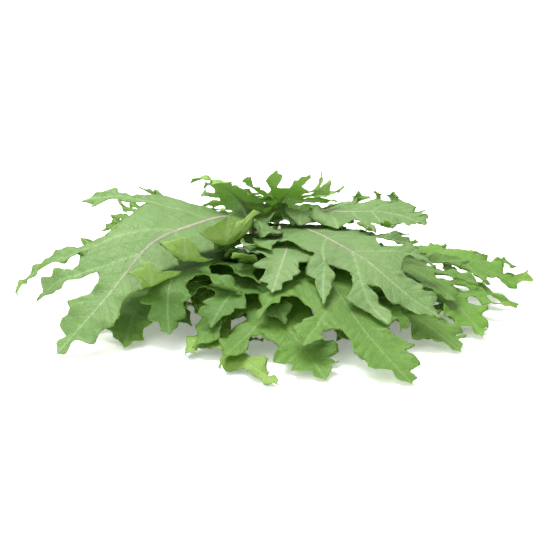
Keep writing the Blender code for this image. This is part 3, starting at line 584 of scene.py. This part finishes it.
def spread_out(values, reach):
    """Smooths a row of heights: the highest within reach, twice, and then a running mean."""
    for _ in range(2):
        wide = np.pad(values, reach, mode="edge")
        values = np.lib.stride_tricks.sliding_window_view(wide, 2 * reach + 1).max(1)
    wide = np.pad(values, 2 * reach, mode="edge")
    return np.convolve(wide, np.ones(4 * reach + 1) / (4 * reach + 1), mode="valid")


def lift_course(leaf, sides, ground, tries=4):
    """Lifts the midrib until the middle of the leaf lies clear of all that is below it."""
    flat, triangles, lobes = flat_leaf(leaf, sides, COARSE)
    half = half_thickness(leaf, flat)
    samples = len(leaf["line"])
    for _ in range(tries):
        points = bend_leaf(leaf, flat)
        weights, _, lack, free = lack_of_height(points, triangles, half, ground, 6)
        lack = np.clip(lack, 0.0, None) * free
        lack[lobes >= 0] = 0.0
        along = np.einsum("sk,tk->ts", weights, flat[triangles][:, :, 0])
        share = (along + leaf["stalk"]) / (leaf["blade"] + leaf["stalk"])
        place = np.clip((share * samples).astype(int), 0, samples - 1)
        need = np.zeros(samples)
        np.maximum.at(need, place, lack)
        push = spread_out(need, COURSE_SPREAD) * packed(leaf["line"])
        away = leaf["line"] - HEART
        leaf["line"] = leaf["line"] + away * (push / away[:, 2])[:, None]


def aim_lobe(leaf, side, hand, k, target, tries=8):
    """Finds the angle, length and bend of a lobe that put its tip at a point, by small steps along
    the slopes that a nudge to each of the three shows."""
    names = ("angle", "length", "bend")
    nudges = (0.02, 0.002, 0.04)
    largest_steps = (0.3, 0.02, 0.4)
    limits = ((0.35, 2.0), (0.02, 0.14), (-2.4, 2.4))

    def tip():
        strip = lobe_strip(leaf, side, k, COARSE)
        point = strip[-1, COARSE["half"]] * [1, hand, 1, 1, hand, 1, hand]
        return bend_leaf(leaf, point[None])[0]

    for _ in range(tries):
        here = tip()
        slope = []
        for name, nudge in zip(names, nudges):
            side[name][k] += nudge
            slope.append((tip() - here) / nudge)
            side[name][k] -= nudge
        matrix = np.array(slope).T
        damp = np.diag([1e-5, 1e-3, 1e-5])
        step = np.linalg.solve(matrix.T @ matrix + damp, matrix.T @ (target - here))
        for name, change, most, (low, high) in zip(names, step, largest_steps, limits):
            side[name][k] = np.clip(side[name][k] + np.clip(change, -most, most), low, high)


def fit_lobes(leaf, sides, ground, tries=9):
    """Bends each lobe upwards until it dips no deeper than its foot into what lies below."""
    count = len(LOBE_ROOT)
    lift = -LOBE_LIFT if leaf["face_down"] else LOBE_LIFT
    for _ in range(tries):
        flat, triangles, lobes = flat_leaf(leaf, sides, COARSE)
        half = half_thickness(leaf, flat)
        points = bend_leaf(leaf, flat)
        dip = lack_of_height(points, triangles, half, ground, 4)[2].max(1)
        moved = False
        for number in range(2 * count):
            side, k = sides[number // count], number % count
            own = dip[lobes == number]
            foot = own[:2 * COARSE["half"]].max()
            steep = abs(side["bend"][k]) > LOBE_STEEPEST or k in side["aimed"]
            if own.max() > max(foot, 0.0) + LOBE_DIP and not steep:
                side["bend"][k] += lift
                moved = True
        if not moved:
            break


def lay_leaf(points, triangles, half, ground, rounds=4):
    """Moves a leaf away from HEART until it lies clear of all that is below it: first smoothly,
    by the widened and blurred lack of height, and then point by point."""
    for _ in range(rounds):
        _, place, lack, free = lack_of_height(points, triangles, half, ground, 3)
        field = np.zeros_like(ground)
        np.maximum.at(field, place, np.clip(lack, 0.0, None) * free)
        field = blur(widen(field, SPREAD), SPREAD)
        x, y, height = slopes(points)
        push = field[cells(x, y)] * packed(points)
        points = points + (points - HEART) * (push / height)[:, None]
    for _ in range(rounds):
        weights, _, lack, free = lack_of_height(points, triangles, half, ground, 3)
        lack = np.clip(lack, 0.0, None) * free
        share = weights / (weights ** 2).sum(1)[:, None]
        worst = (lack[:, :, None] * share).max(1)
        push = np.zeros(len(points))
        np.maximum.at(push, triangles.ravel(), worst.ravel())
        points = points + (points - HEART) * (push / slopes(points)[2])[:, None]
    return points


def raise_ground(points, triangles, half, ground):
    """Marks a leaf's upper face on the map, for the leaves that will lie on it."""
    _, place, height, thick, _, _ = sample_surface(points, triangles, half, 3)
    np.maximum.at(ground, place, height + thick)


# The kale's skin: grey-green with a waxy bloom above, paler and yellower below. The midrib and the
# stalk are pink to purple at the foot and pale green further out. Side veins branch off each lobe's
# vein, with a fine net of veins between them. The thin blade lets light through.
def new_group(name, inputs, outputs):
    """A shader node group with named sockets: (name, kind, value at rest)."""
    group = bpy.data.node_groups.new(name, "ShaderNodeTree")
    for label, kind, value in inputs:
        socket = group.interface.new_socket(label, in_out="INPUT", socket_type=kind)
        if value is not None:
            socket.default_value = value
    for label, kind in outputs:
        group.interface.new_socket(label, in_out="OUTPUT", socket_type=kind)
    return group, group.nodes.new("NodeGroupInput"), group.nodes.new("NodeGroupOutput")


def feed(tree, socket, value):
    """Gives a socket a link, or else a number or a colour of its own."""
    if isinstance(value, bpy.types.NodeSocket):
        tree.links.new(value, socket)
    else:
        socket.default_value = (*value, 1.0) if isinstance(value, tuple) else value


def math_node(tree, operation, *values, clamp=False):
    """A Math node with its numbers or links."""
    node = tree.nodes.new("ShaderNodeMath")
    node.operation = operation
    node.use_clamp = clamp
    for socket, value in zip(node.inputs, values):
        feed(tree, socket, value)
    return node.outputs[0]


def times(tree, first, second):
    """The product of two numbers or links."""
    return math_node(tree, "MULTIPLY", first, second)


def fade_node(tree, value, low, high, start=0.0, end=1.0):
    """A smooth ramp of a value, from start at low to end at high."""
    node = tree.nodes.new("ShaderNodeMapRange")
    node.interpolation_type = "SMOOTHSTEP"
    labels = ("Value", "From Min", "From Max", "To Min", "To Max")
    for label, number in zip(labels, (value, low, high, start, end)):
        feed(tree, node.inputs[label], number)
    return node.outputs["Result"]


def mix_node(tree, share, first, second):
    """A blend of two colours."""
    node = tree.nodes.new("ShaderNodeMix")
    node.data_type = "RGBA"
    feed(tree, node.inputs["Factor"], share)
    colours = [socket for socket in node.inputs if socket.type == "RGBA"]
    for socket, value in zip(colours, (first, second)):
        feed(tree, socket, value)
    return [socket for socket in node.outputs if socket.type == "RGBA"][0]


def noise_node(tree, vector, scale, detail=2.0, rough=0.5):
    """Cloudy noise from 0 to 1, with lumps of about 1 / scale metres."""
    node = tree.nodes.new("ShaderNodeTexNoise")
    tree.links.new(vector, node.inputs["Vector"])
    node.inputs["Scale"].default_value = scale
    node.inputs["Detail"].default_value = detail
    node.inputs["Roughness"].default_value = rough
    return node.outputs["Fac"]


def attribute_node(tree, name):
    """A number that the mesh carries at each point."""
    node = tree.nodes.new("ShaderNodeAttribute")
    node.attribute_name = name
    return node.outputs["Fac"]


def roughen(tree, shader, height, strength, distance):
    """Feeds a height to the shader's normal through a Bump node."""
    bump = tree.nodes.new("ShaderNodeBump")
    bump.inputs["Strength"].default_value = strength
    bump.inputs["Distance"].default_value = distance
    tree.links.new(height, bump.inputs["Height"])
    tree.links.new(bump.outputs["Normal"], shader.inputs["Normal"])


VEIN_PITCH = 0.0085
VEIN_SLOPE = 0.62
VEIN_POWER = 0.92
VEIN_WANDER = 0.004
veins, vein_in, vein_out = new_group(
    "kale veins",
    [("Along", "NodeSocketFloat", 0.0), ("Across", "NodeSocketFloat", 0.0),
     ("Wander", "NodeSocketFloat", 0.5), ("Position", "NodeSocketVector", None)],
    [("Side veins", "NodeSocketFloat"), ("Net", "NodeSocketFloat")])
off = math_node(veins, "ABSOLUTE", vein_in.outputs["Across"])
wander = math_node(veins, "SUBTRACT", vein_in.outputs["Wander"], 0.5)
wander = times(veins, wander, VEIN_WANDER)
climb = times(veins, math_node(veins, "POWER", off, VEIN_POWER), VEIN_SLOPE)
climb = math_node(veins, "SUBTRACT", vein_in.outputs["Along"], climb)
line = math_node(veins, "DIVIDE", math_node(veins, "ADD", climb, wander), VEIN_PITCH)
line = math_node(veins, "PINGPONG", line, 0.5)
thin = fade_node(veins, off, 0.0, 0.022, 0.075, 0.035)
side_veins = fade_node(veins, line, 0.0, thin, 1.0, 0.0)
side_veins = times(veins, side_veins, fade_node(veins, off, 0.008, 0.030, 1.0, 0.25))
net = veins.nodes.new("ShaderNodeTexVoronoi")
net.feature = "DISTANCE_TO_EDGE"
net.inputs["Scale"].default_value = 330.0
veins.links.new(vein_in.outputs["Position"], net.inputs["Vector"])
net_lines = fade_node(veins, net.outputs["Distance"], 0.0, 0.16, 1.0, 0.0)
veins.links.new(side_veins, vein_out.inputs["Side veins"])
veins.links.new(net_lines, vein_out.inputs["Net"])

EDGE = (0.260, 0.400, 0.080)
PALE_VEIN = (0.46, 0.66, 0.28)


def kale_skin(name, upper, upper_dark, under, bloom, rib_colour, bloom_share=0.5):
    """The leaf's material: upper side, underside, veins and midrib, and light through the blade."""
    material, tree, shader = new_material(name, 0.52)
    place = tree.nodes.new("ShaderNodeTexCoord").outputs["Object"]
    group = tree.nodes.new("ShaderNodeGroup")
    group.node_tree = veins
    broad = noise_node(tree, place, 28.0, 3.0)
    fine = noise_node(tree, place, 220.0, 3.0, 0.6)
    tree.links.new(attribute_node(tree, "along"), group.inputs["Along"])
    tree.links.new(attribute_node(tree, "across"), group.inputs["Across"])
    tree.links.new(noise_node(tree, place, 45.0, 1.0), group.inputs["Wander"])
    tree.links.new(place, group.inputs["Position"])
    side_lines, net_lines = group.outputs["Side veins"], group.outputs["Net"]
    main_vein = attribute_node(tree, "vein")
    rib = attribute_node(tree, "rib")
    beneath = attribute_node(tree, "under")

    top = mix_node(tree, fade_node(tree, broad, 0.35, 0.65), upper_dark, upper)
    waxy = times(tree, fade_node(tree, fine, 0.3, 0.7, 0.5, 1.0), bloom_share)
    top = mix_node(tree, waxy, top, bloom)
    pale = tuple(0.6 * c + 0.4 * p for c, p in zip(bloom, PALE_VEIN))
    lines = math_node(tree, "ADD", times(tree, side_lines, 0.40), times(tree, net_lines, 0.10),
                      clamp=True)
    top = mix_node(tree, lines, top, pale)
    below = mix_node(tree, fade_node(tree, broad, 0.3, 0.7, 0.0, 0.6), under,
                     tuple(0.8 * c for c in under))
    below = mix_node(tree, times(tree, lines, 0.7), below, tuple(0.3 + 0.7 * c for c in under))
    skin = mix_node(tree, beneath, top, below)
    rim = math_node(tree, "POWER", attribute_node(tree, "edge"), 2.0)
    skin = mix_node(tree, times(tree, rim, 0.6), skin, EDGE)
    skin = mix_node(tree, times(tree, main_vein, bloom_share), skin, pale)
    stem = mix_node(tree, fade_node(tree, fine, 0.3, 0.7, 0.05, 0.45), rib_colour, pale)
    skin = mix_node(tree, rib, skin, stem)
    tree.links.new(skin, shader.inputs["Base Color"])
    shader.inputs["Specular IOR Level"].default_value = 0.35

    relief = times(tree, side_lines, -0.8)
    dents = noise_node(tree, place, 110.0, 2.0)
    for part in (times(tree, net_lines, -0.35), times(tree, fine, 0.8), times(tree, dents, 2.0)):
        relief = math_node(tree, "ADD", relief, part)
    roughen(tree, shader, relief, 0.7, 0.0007)

    through = tree.nodes.new("ShaderNodeBsdfTranslucent")
    through.inputs["Color"].default_value = (*(min(1.0, 1.6 * c) for c in under), 1.0)
    both = tree.nodes.new("ShaderNodeMixShader")
    thick = math_node(tree, "SUBTRACT", 0.34, times(tree, rib, 0.30))
    tree.links.new(thick, both.inputs["Fac"])
    tree.links.new(shader.outputs["BSDF"], both.inputs[1])
    tree.links.new(through.outputs["BSDF"], both.inputs[2])
    tree.links.new(both.outputs["Shader"], tree.nodes["Material Output"].inputs["Surface"])
    return material


PURPLE = (0.42, 0.20, 0.33)
MAUVE = (0.155, 0.150, 0.090)
LIME = (0.230, 0.370, 0.065)
skins = {
    "grey": kale_skin("kale grey green", (0.130, 0.245, 0.056), (0.088, 0.185, 0.032),
                      LIME, (0.215, 0.315, 0.140), PURPLE, 0.55),
    # young green: a young leaf's brighter green with painted light on top, raised to make up for
    # the shade on leaves that face the camera, away from the lamp
    "young_painted_light": kale_skin("kale young green painted light", (0.190, 0.370, 0.040), (0.135, 0.290, 0.022),
                      (0.270, 0.430, 0.110), (0.30, 0.44, 0.16), MAUVE, 0.30),
    "fresh": kale_skin("kale fresh green", (0.125, 0.275, 0.022), (0.085, 0.210, 0.012),
                       LIME, (0.165, 0.290, 0.065), MAUVE, 0.35),
    "mid": kale_skin("kale mid green", (0.098, 0.215, 0.020), (0.066, 0.160, 0.012),
                     LIME, (0.145, 0.245, 0.062), MAUVE, 0.40),
    # deep green: a darker copy of the green skins, painted shade for the leaves deep inside the
    # heap
    "deep_painted_shade": kale_skin("kale deep green painted shade", (0.070, 0.170, 0.018), (0.048, 0.125, 0.011),
                      LIME, (0.105, 0.200, 0.046), MAUVE, 0.35),
}


# A leaf as a closed body: the bent sheet is given an upper and a lower face, which meet along the
# margin. The midrib stands out below as a half-round ridge, and the stalk is round.
# The map of the ground starts as the table, and each leaf raises it.
ground = np.full((MAP_SIZE, MAP_SIZE), FLOOR_GAP - HEART[2] - CLEARANCE)
HAIR = 1e-6
SINK_ABOVE = 0.8
SINK_BELOW = 0.5
QUILT_HEIGHT = 0.0008
UV_SIDE = 0.42
UV_START = np.array([0.12, 0.21])


def close_leaf(leaf, points, flat, triangles, half):
    """Upper face out by half the thickness, lower face in by it, one margin for both: points that
    lie on an edge of a single triangle are shared. A triangle with all its points on the margin
    would be flat and double, so it is left out. The cut end of the stalk is closed too."""
    corner = points[triangles]
    face = np.cross(corner[:, 1] - corner[:, 0], corner[:, 2] - corner[:, 0])
    normal = np.zeros_like(points)
    for i in range(3):
        for axis in range(3):
            normal[:, axis] += np.bincount(triangles[:, i], face[:, axis], len(points))
    normal = unit(normal)
    edges = np.concatenate([triangles[:, :2], triangles[:, 1:], triangles[:, [2, 0]]])
    _, kind, seen = np.unique(np.sort(edges, 1), axis=0, return_inverse=True, return_counts=True)
    open_edge = edges[seen[kind.ravel()] == 1]
    margin = np.zeros(len(points), bool)
    margin[open_edge.ravel()] = True
    at_end = flat[:, 0] < -leaf["stalk"] + HAIR
    margin[at_end & (np.abs(flat[:, 1]) < STALK_HALF - HAIR)] = False
    upper = points + normal * half[:, None]
    lower = points - normal * half[:, None]
    sink = np.where((flat[:, 0] > 0.0) & ~margin, half - 0.5 * BLADE_THICK, 0.0)
    upper -= normal * sink[:, None] * SINK_ABOVE
    lower -= normal * sink[:, None] * SINK_BELOW
    upper[margin] = points[margin]
    twin = np.arange(len(points)) + len(points)
    twin[margin] = np.arange(len(points))[margin]
    sheet = triangles[~margin[triangles].all(1)]
    faces = np.concatenate([sheet, twin[sheet[:, ::-1]]])
    a, b = open_edge[at_end[open_edge].all(1)].T
    cap = np.concatenate([np.stack([b, a, twin[a]], 1), np.stack([b, twin[a], twin[b]], 1)])
    cap = cap[(cap[:, 0] != cap[:, 1]) & (cap[:, 1] != cap[:, 2]) & (cap[:, 2] != cap[:, 0])]
    return np.concatenate([upper, lower]), np.concatenate([faces, cap]), twin


def quilt(flat, seed):
    """The blade's height between its veins: it bulges from one side vein to the next by the height
    of the quilting, and swells and sinks by as much in wider lumps. Both fade out at the midrib."""
    off = np.abs(flat[:, 4])
    step = (flat[:, 3] - VEIN_SLOPE * off ** VEIN_POWER) / VEIN_PITCH
    bulge = QUILT_HEIGHT * np.abs(np.sin(np.pi * step)) * ease(off / 0.006)
    lump = QUILT_HEIGHT * np.sin(flat[:, 0] * 190.0 + seed)
    lump = lump * np.sin(flat[:, 1] * 170.0 + 2.0 * seed)
    return (bulge + lump) * ease((np.abs(flat[:, 1]) - 0.004) / 0.012)


def grow_leaf(name, slot, seed, course, skin, **numbers):
    """Draws a leaf, lays it on the heap, and makes its body and its piece. The numbers are metres,
    shares of the pattern's values, or degrees, and cup is the blade's curvature across. Left and
    right hold what single lobes have of their own, by number from the foot, with radians."""
    leaf = dict(cup=3, stalk=0.095, bend=(-35, 10), roll=0.0, wide=1.0, slim=1.0, web=1.0,
                frill=0.0022, ragged=1.0, face_down=False, left={}, right={})
    leaf.update(numbers)
    leaf["line"] = smooth_course(stalk_start(slot) + list(course))
    length = np.linalg.norm(np.diff(leaf["line"], axis=0), axis=1).sum()
    leaf["blade"] = length - leaf["stalk"]
    rng = np.random.default_rng(seed)
    sides = [draw_side(leaf, rng, leaf[label]) for label in ("left", "right")]
    lift_course(leaf, sides, ground)
    for hand, label, side in ((1, "left", sides[0]), (-1, "right", sides[1])):
        for k, own in leaf[label].items():
            if "tip" in own:
                aim_lobe(leaf, side, hand, k, np.array(own["tip"]))
    fit_lobes(leaf, sides, ground)
    flat, triangles, _ = flat_leaf(leaf, sides, FINE)
    half = half_thickness(leaf, flat)
    flat[:, 2] += quilt(flat, seed)
    points = lay_leaf(bend_leaf(leaf, flat), triangles, half, ground)
    raise_ground(points, triangles, half, ground)

    body, faces, twin = close_leaf(leaf, points, flat, triangles, half)
    used, back = np.unique(faces, return_inverse=True)
    body, faces = body[used], back.reshape(-1, 3)
    flat_twice = np.concatenate([flat, flat])[used]
    mesh = bpy.data.meshes.new(name)
    mesh.vertices.add(len(body))
    mesh.vertices.foreach_set("co", (body - MIDDLE).astype(np.float32).ravel())
    mesh.loops.add(faces.size)
    mesh.loops.foreach_set("vertex_index", faces.astype(np.int32).ravel())
    mesh.polygons.add(len(faces))
    mesh.polygons.foreach_set("loop_start", np.arange(0, faces.size, 3, dtype=np.int32))
    mesh.polygons.foreach_set("loop_total", np.full(len(faces), 3, np.int32))
    mesh.update(calc_edges=True)
    mesh.validate()

    a, b = flat_twice[:, 5], flat_twice[:, 6]
    width = rib_half(a, leaf["blade"])
    reach = ease((leaf["blade"] - a) / (0.7 * leaf["blade"])) * 0.9 + 0.1
    values = dict(
        along=flat_twice[:, 3], across=flat_twice[:, 4],
        rib=(1.0 - ease((np.abs(b) - 0.15 * width) / (0.5 * width))) * reach,
        vein=np.exp(-(flat_twice[:, 4] / 0.0007) ** 2) * (a > 0.0),
        edge=(twin[used % len(flat)] < len(flat)).astype(float),
        under=(used >= len(flat)).astype(float))
    for label, value in values.items():
        attribute = mesh.attributes.new(label, "FLOAT", "POINT")
        attribute.data.foreach_set("value", value.astype(np.float32))
    uv = mesh.uv_layers.new(name="flat leaf")
    flat_uv = (flat_twice[:, 5:7] + UV_START) / UV_SIDE
    uv.data.foreach_set("uv", flat_uv[faces.ravel()].astype(np.float32).ravel())
    mesh.polygons.foreach_set("use_smooth", np.ones(len(mesh.polygons), bool))
    mesh.materials.append(skins[skin])
    piece = add_object(name + "_blade", mesh)
    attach(piece, "root")
    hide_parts(name)


# The lowest leaves: they lie on the table, left, front and right, and show their lobes at the foot
# of the heap. The second one lies on its face and shows its pale underside at the front.
grow_leaf("leaf_01", (0, 1), 11, [(-0.04, 0.095, 0.008), (-0.068, 0.04, 0.016),
    (-0.09, -0.03, 0.018), (-0.098, -0.092, 0.003)], "mid")
grow_leaf("leaf_02", (0, 2), 12, [(-0.004, 0.08, 0.007), (-0.02, 0.0, 0.01),
    (-0.034, -0.07, 0.011), (-0.02, -0.125, 0.009), (0.011, -0.177, 0.002)], "mid",
    cup=-2, bend=(0, 30), wide=0.14, slim=0.38, web=0.35, ragged=0.3, face_down=True)
grow_leaf("leaf_03", (0, 3), 13, [(0.024, 0.09, 0.008), (0.06, 0.01, 0.017),
    (0.1, -0.05, 0.016), (0.134, -0.098, 0.002)], "mid")
grow_leaf("leaf_04", (0, 4), 14, [(0.045, 0.095, 0.009), (0.09, 0.04, 0.022),
    (0.125, -0.01, 0.02), (0.152, -0.068, 0.003)], "fresh", cup=2)
grow_leaf("leaf_05", (1, 4), 15, [(0.05, 0.105, 0.016), (0.105, 0.075, 0.028),
    (0.14, 0.052, 0.018), (0.162, 0.038, 0.004), (0.178, 0.034, 0.008),
    (0.192, 0.03, 0.022)], "fresh", cup=2, bend=(-20, 40), stalk=0.1,
    wide=0.5, slim=0.65, web=1.2, roll=-10, ragged=0.3,
    left={3: dict(angle=0.85, length=0.06, bend=-1.0, start=0.1, zone=0.9),
          4: dict(length=0.048)})
grow_leaf("leaf_06", (0, 0), 16, [(-0.055, 0.11, 0.016), (-0.095, 0.075, 0.03),
    (-0.13, 0.05, 0.036), (-0.158, 0.035, 0.036)], "mid",
    cup=2, bend=(-20, 40), stalk=0.1)

# The leaves inside the heap: of middle size, and given darker green skins as painted shade, since
# less light reaches them.
# Their stalks are held in the middle of the bunch, and they hang over its front and fill it.
grow_leaf("leaf_07", (1, 2), 17, [(0.0, 0.09, 0.019), (-0.006, 0.02, 0.026),
    (0.002, -0.06, 0.026), (0.022, -0.115, 0.014), (0.04, -0.163, 0.002)], "mid",
    wide=0.85, right={3: dict(length=0.082, bend=-0.5, half=0.012),
                      4: dict(length=0.078, bend=-0.5, half=0.011)})
grow_leaf("leaf_08", (2, 1), 18, [(-0.01, 0.09, 0.026), (-0.012, 0.03, 0.032),
    (-0.015, -0.04, 0.036), (-0.027, -0.075, 0.028), (-0.038, -0.095, 0.008)], "deep_painted_shade",
    cup=4, bend=(-65, -25), web=1.4, frill=0.0014)
grow_leaf("leaf_09", (1, 1), 19, [(-0.028, 0.09, 0.022), (-0.044, 0.03, 0.034),
    (-0.057, -0.03, 0.038), (-0.066, -0.07, 0.028), (-0.066, -0.1, 0.006)], "deep_painted_shade",
    cup=4, frill=0.0014)
grow_leaf("leaf_10", (1, 3), 20, [(0.012, 0.09, 0.024), (0.03, 0.02, 0.036),
    (0.045, -0.06, 0.042), (0.064, -0.112, 0.025), (0.096, -0.171, 0.002)], "mid",
    cup=4, wide=0.7, frill=0.0012)
grow_leaf("leaf_11", (2, 2), 23, [(0.02, 0.09, 0.027), (0.058, 0.04, 0.038),
    (0.1, 0.0, 0.036), (0.135, -0.045, 0.022)], "mid",
    bend=(-30, 10), wide=1.15, web=1.4, frill=0.0014)
grow_leaf("leaf_12", (3, 1), 25, [(0.002, 0.09, 0.036), (0.01, 0.035, 0.046),
    (0.014, -0.015, 0.05), (0.01, -0.055, 0.046), (0.002, -0.085, 0.03)], "grey",
    cup=6, wide=0.85, web=1.5, frill=0.001, stalk=0.083,
    left={0: dict(length=0.045, half=0.01), 1: dict(length=0.05)},
    right={0: dict(length=0.045, half=0.01), 1: dict(length=0.06, half=0.012)})

# The leaves at the left back and right front. The right one is large and grey-green: it covers the
# heap's right half, and its lobes hang down over the leaves below it.
grow_leaf("leaf_13", (1, 0), 22, [(-0.045, 0.1, 0.034), (-0.07, 0.075, 0.05),
    (-0.095, 0.058, 0.056), (-0.124, 0.044, 0.052)], "mid",
    bend=(-30, 30), stalk=0.09, roll=20, web=1.4,
    left={0: dict(length=0.036, bend=-0.6), 1: dict(length=0.045, bend=-0.7),
          2: dict(length=0.05, bend=-0.8)},
    right={3: dict(angle=1.02, length=0.056, bend=0.9, start=0.2, zone=0.8),
           2: dict(length=0.05, bend=0.5)})
grow_leaf("leaf_14", (2, 3), 36, [(0.019, 0.09, 0.034), (0.03, 0.035, 0.053),
    (0.046, -0.02, 0.0555), (0.07, -0.052, 0.049), (0.0925, -0.075, 0.039),
    (0.125, -0.09, 0.021)], "grey", cup=6, roll=-8, web=1.25, frill=0.0014,
    left={4: dict(tip=(0.122, -0.02, 0.04)),
          3: dict(tip=(0.112, 0.015, 0.046), notch=(0.11, 0.038)),
          2: dict(tip=(0.106, 0.03, 0.054), notch=(0.074, 0.034))},
    right={0: dict(length=0.04, half=0.011, bend=-0.3, angle=1.3),
           1: dict(length=0.044, half=0.01, bend=-0.3),
           3: dict(tip=(0.039, -0.098, 0.034)), 4: dict(tip=(0.082, -0.112, 0.024))})

# The large leaf that covers the heap's left half, grey-green with a purple midrib. Its stalk is the
# longest, its back edge stands up, and the lobes of its front edge are curled over.
upright = dict(start=0.1, zone=0.9)
curled = dict(start=0.1, zone=0.5, twist=0.0)
grow_leaf("leaf_15", (2, 0), 27, [(-0.012, 0.09, 0.043), (-0.02, 0.05, 0.058),
    (-0.034, 0.016, 0.068), (-0.056, -0.013, 0.07), (-0.081, -0.038, 0.064),
    (-0.1, -0.066, 0.047), (-0.12, -0.09, 0.027), (-0.145, -0.108, 0.002)], "grey",
    cup=5, stalk=0.1, bend=(-40, -10), roll=26, slim=0.75,
    right={1: dict(angle=1.25, length=0.076, bend=0.5, notch=(0.032, 0.036)),
           2: dict(tip=(-0.137, 0.03, 0.078), notch=(0.077, 0.056),
                   teeth=([(0.5, 0.004, 0.2)], [(0.6, 0.009, 0.2)])),
           3: dict(tip=(-0.187, -0.03, 0.016), notch=(0.112, 0.042), half=0.007),
           4: dict(angle=0.66, length=0.092, bend=-0.5, notch=(0.179, 0.037), half=0.005),
           5: dict(notch=(0.188, 0.018))},
    left={0: dict(upright, length=0.046, bend=-0.4),
          1: dict(upright, twist=0.0, length=0.058, half=0.01, bend=-0.7, notch=(0.036, 0.026)),
          2: dict(curled, length=0.056, half=0.018, bend=2.4, notch=(0.071, 0.03)),
          3: dict(curled, length=0.056, half=0.018, bend=2.4, notch=(0.11, 0.03)),
          4: dict(curled, angle=0.8, length=0.05, half=0.01, bend=2.3, notch=(0.151, 0.028)),
          5: dict(notch=(0.188, 0.016))})

# The small leaves on top, behind the large ones: one spread to the right, and two young ones of a
# brighter green, of which one is curled over and one stands up like a star. Their green is partly
# their own and partly painted light, raised to make up for the shade on faces turned to the camera.
grow_leaf("leaf_16", (3, 3), 21, [(0.026, 0.1, 0.043), (0.052, 0.065, 0.051),
    (0.085, 0.046, 0.056), (0.122, 0.03, 0.056)], "grey",
    bend=(-30, 10), stalk=0.085, roll=-24, wide=1.3, slim=1.3, web=2.3,
    right={0: dict(length=0.045, half=0.01, bend=-0.4, angle=1.5),
           1: dict(length=0.056, half=0.012, bend=-0.5),
           2: dict(length=0.056, half=0.012, bend=-0.5)},
    left={2: dict(tip=(0.067, 0.088, 0.072)), 3: dict(tip=(0.083, 0.083, 0.073)),
          4: dict(tip=(0.097, 0.075, 0.073))})
hanging = {0: dict(angle=1.6, length=0.036, half=0.009, bend=-0.9)}
grow_leaf("leaf_17", (3, 0), 24, [(-0.0105, 0.12, 0.028), (-0.012, 0.108, 0.041),
    (-0.016, 0.085, 0.06), (-0.022, 0.062, 0.074), (-0.034, 0.052, 0.086),
    (-0.046, 0.05, 0.091), (-0.058, 0.05, 0.087)], "young_painted_light",
    bend=(-60, -20), stalk=0.075, slim=0.9, web=1.6, frill=0.0014, ragged=0.5,
    left=hanging, right=hanging)
hanging = {0: dict(angle=1.6, length=0.04, half=0.01, bend=-0.9),
           1: dict(angle=1.3, length=0.044, half=0.009, bend=-0.7)}
grow_leaf("leaf_18", (3, 2), 28, [(0.01, 0.112, 0.05), (0.011, 0.085, 0.06),
    (0.013, 0.062, 0.068), (0.02, 0.048, 0.079), (0.032, 0.042, 0.095)], "young_painted_light",
    cup=-4, bend=(0, 30), stalk=0.07, wide=1.4, web=1.5, frill=0.001, ragged=0.4,
    left=hanging, right=hanging)

# The tie: a flat loop of plain tan rubber, cut from sheet, round all the stalks. Its flat
# underside lies on the table.
rubber, rubber_tree, rubber_shader = new_material("tan rubber", 0.6)
rubber_place = rubber_tree.nodes.new("ShaderNodeTexCoord").outputs["Object"]
rubber_speckle = noise_node(rubber_tree, rubber_place, 900.0, 3.0, 0.6)
rubber_colour = mix_node(rubber_tree, rubber_speckle, (0.40, 0.25, 0.11), (0.52, 0.36, 0.18))
rubber_tree.links.new(rubber_colour, rubber_shader.inputs["Base Color"])
roughen(rubber_tree, rubber_shader, rubber_speckle, 0.3, 0.0003)
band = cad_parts["tie"]
band.material_slots[0].material = rubber
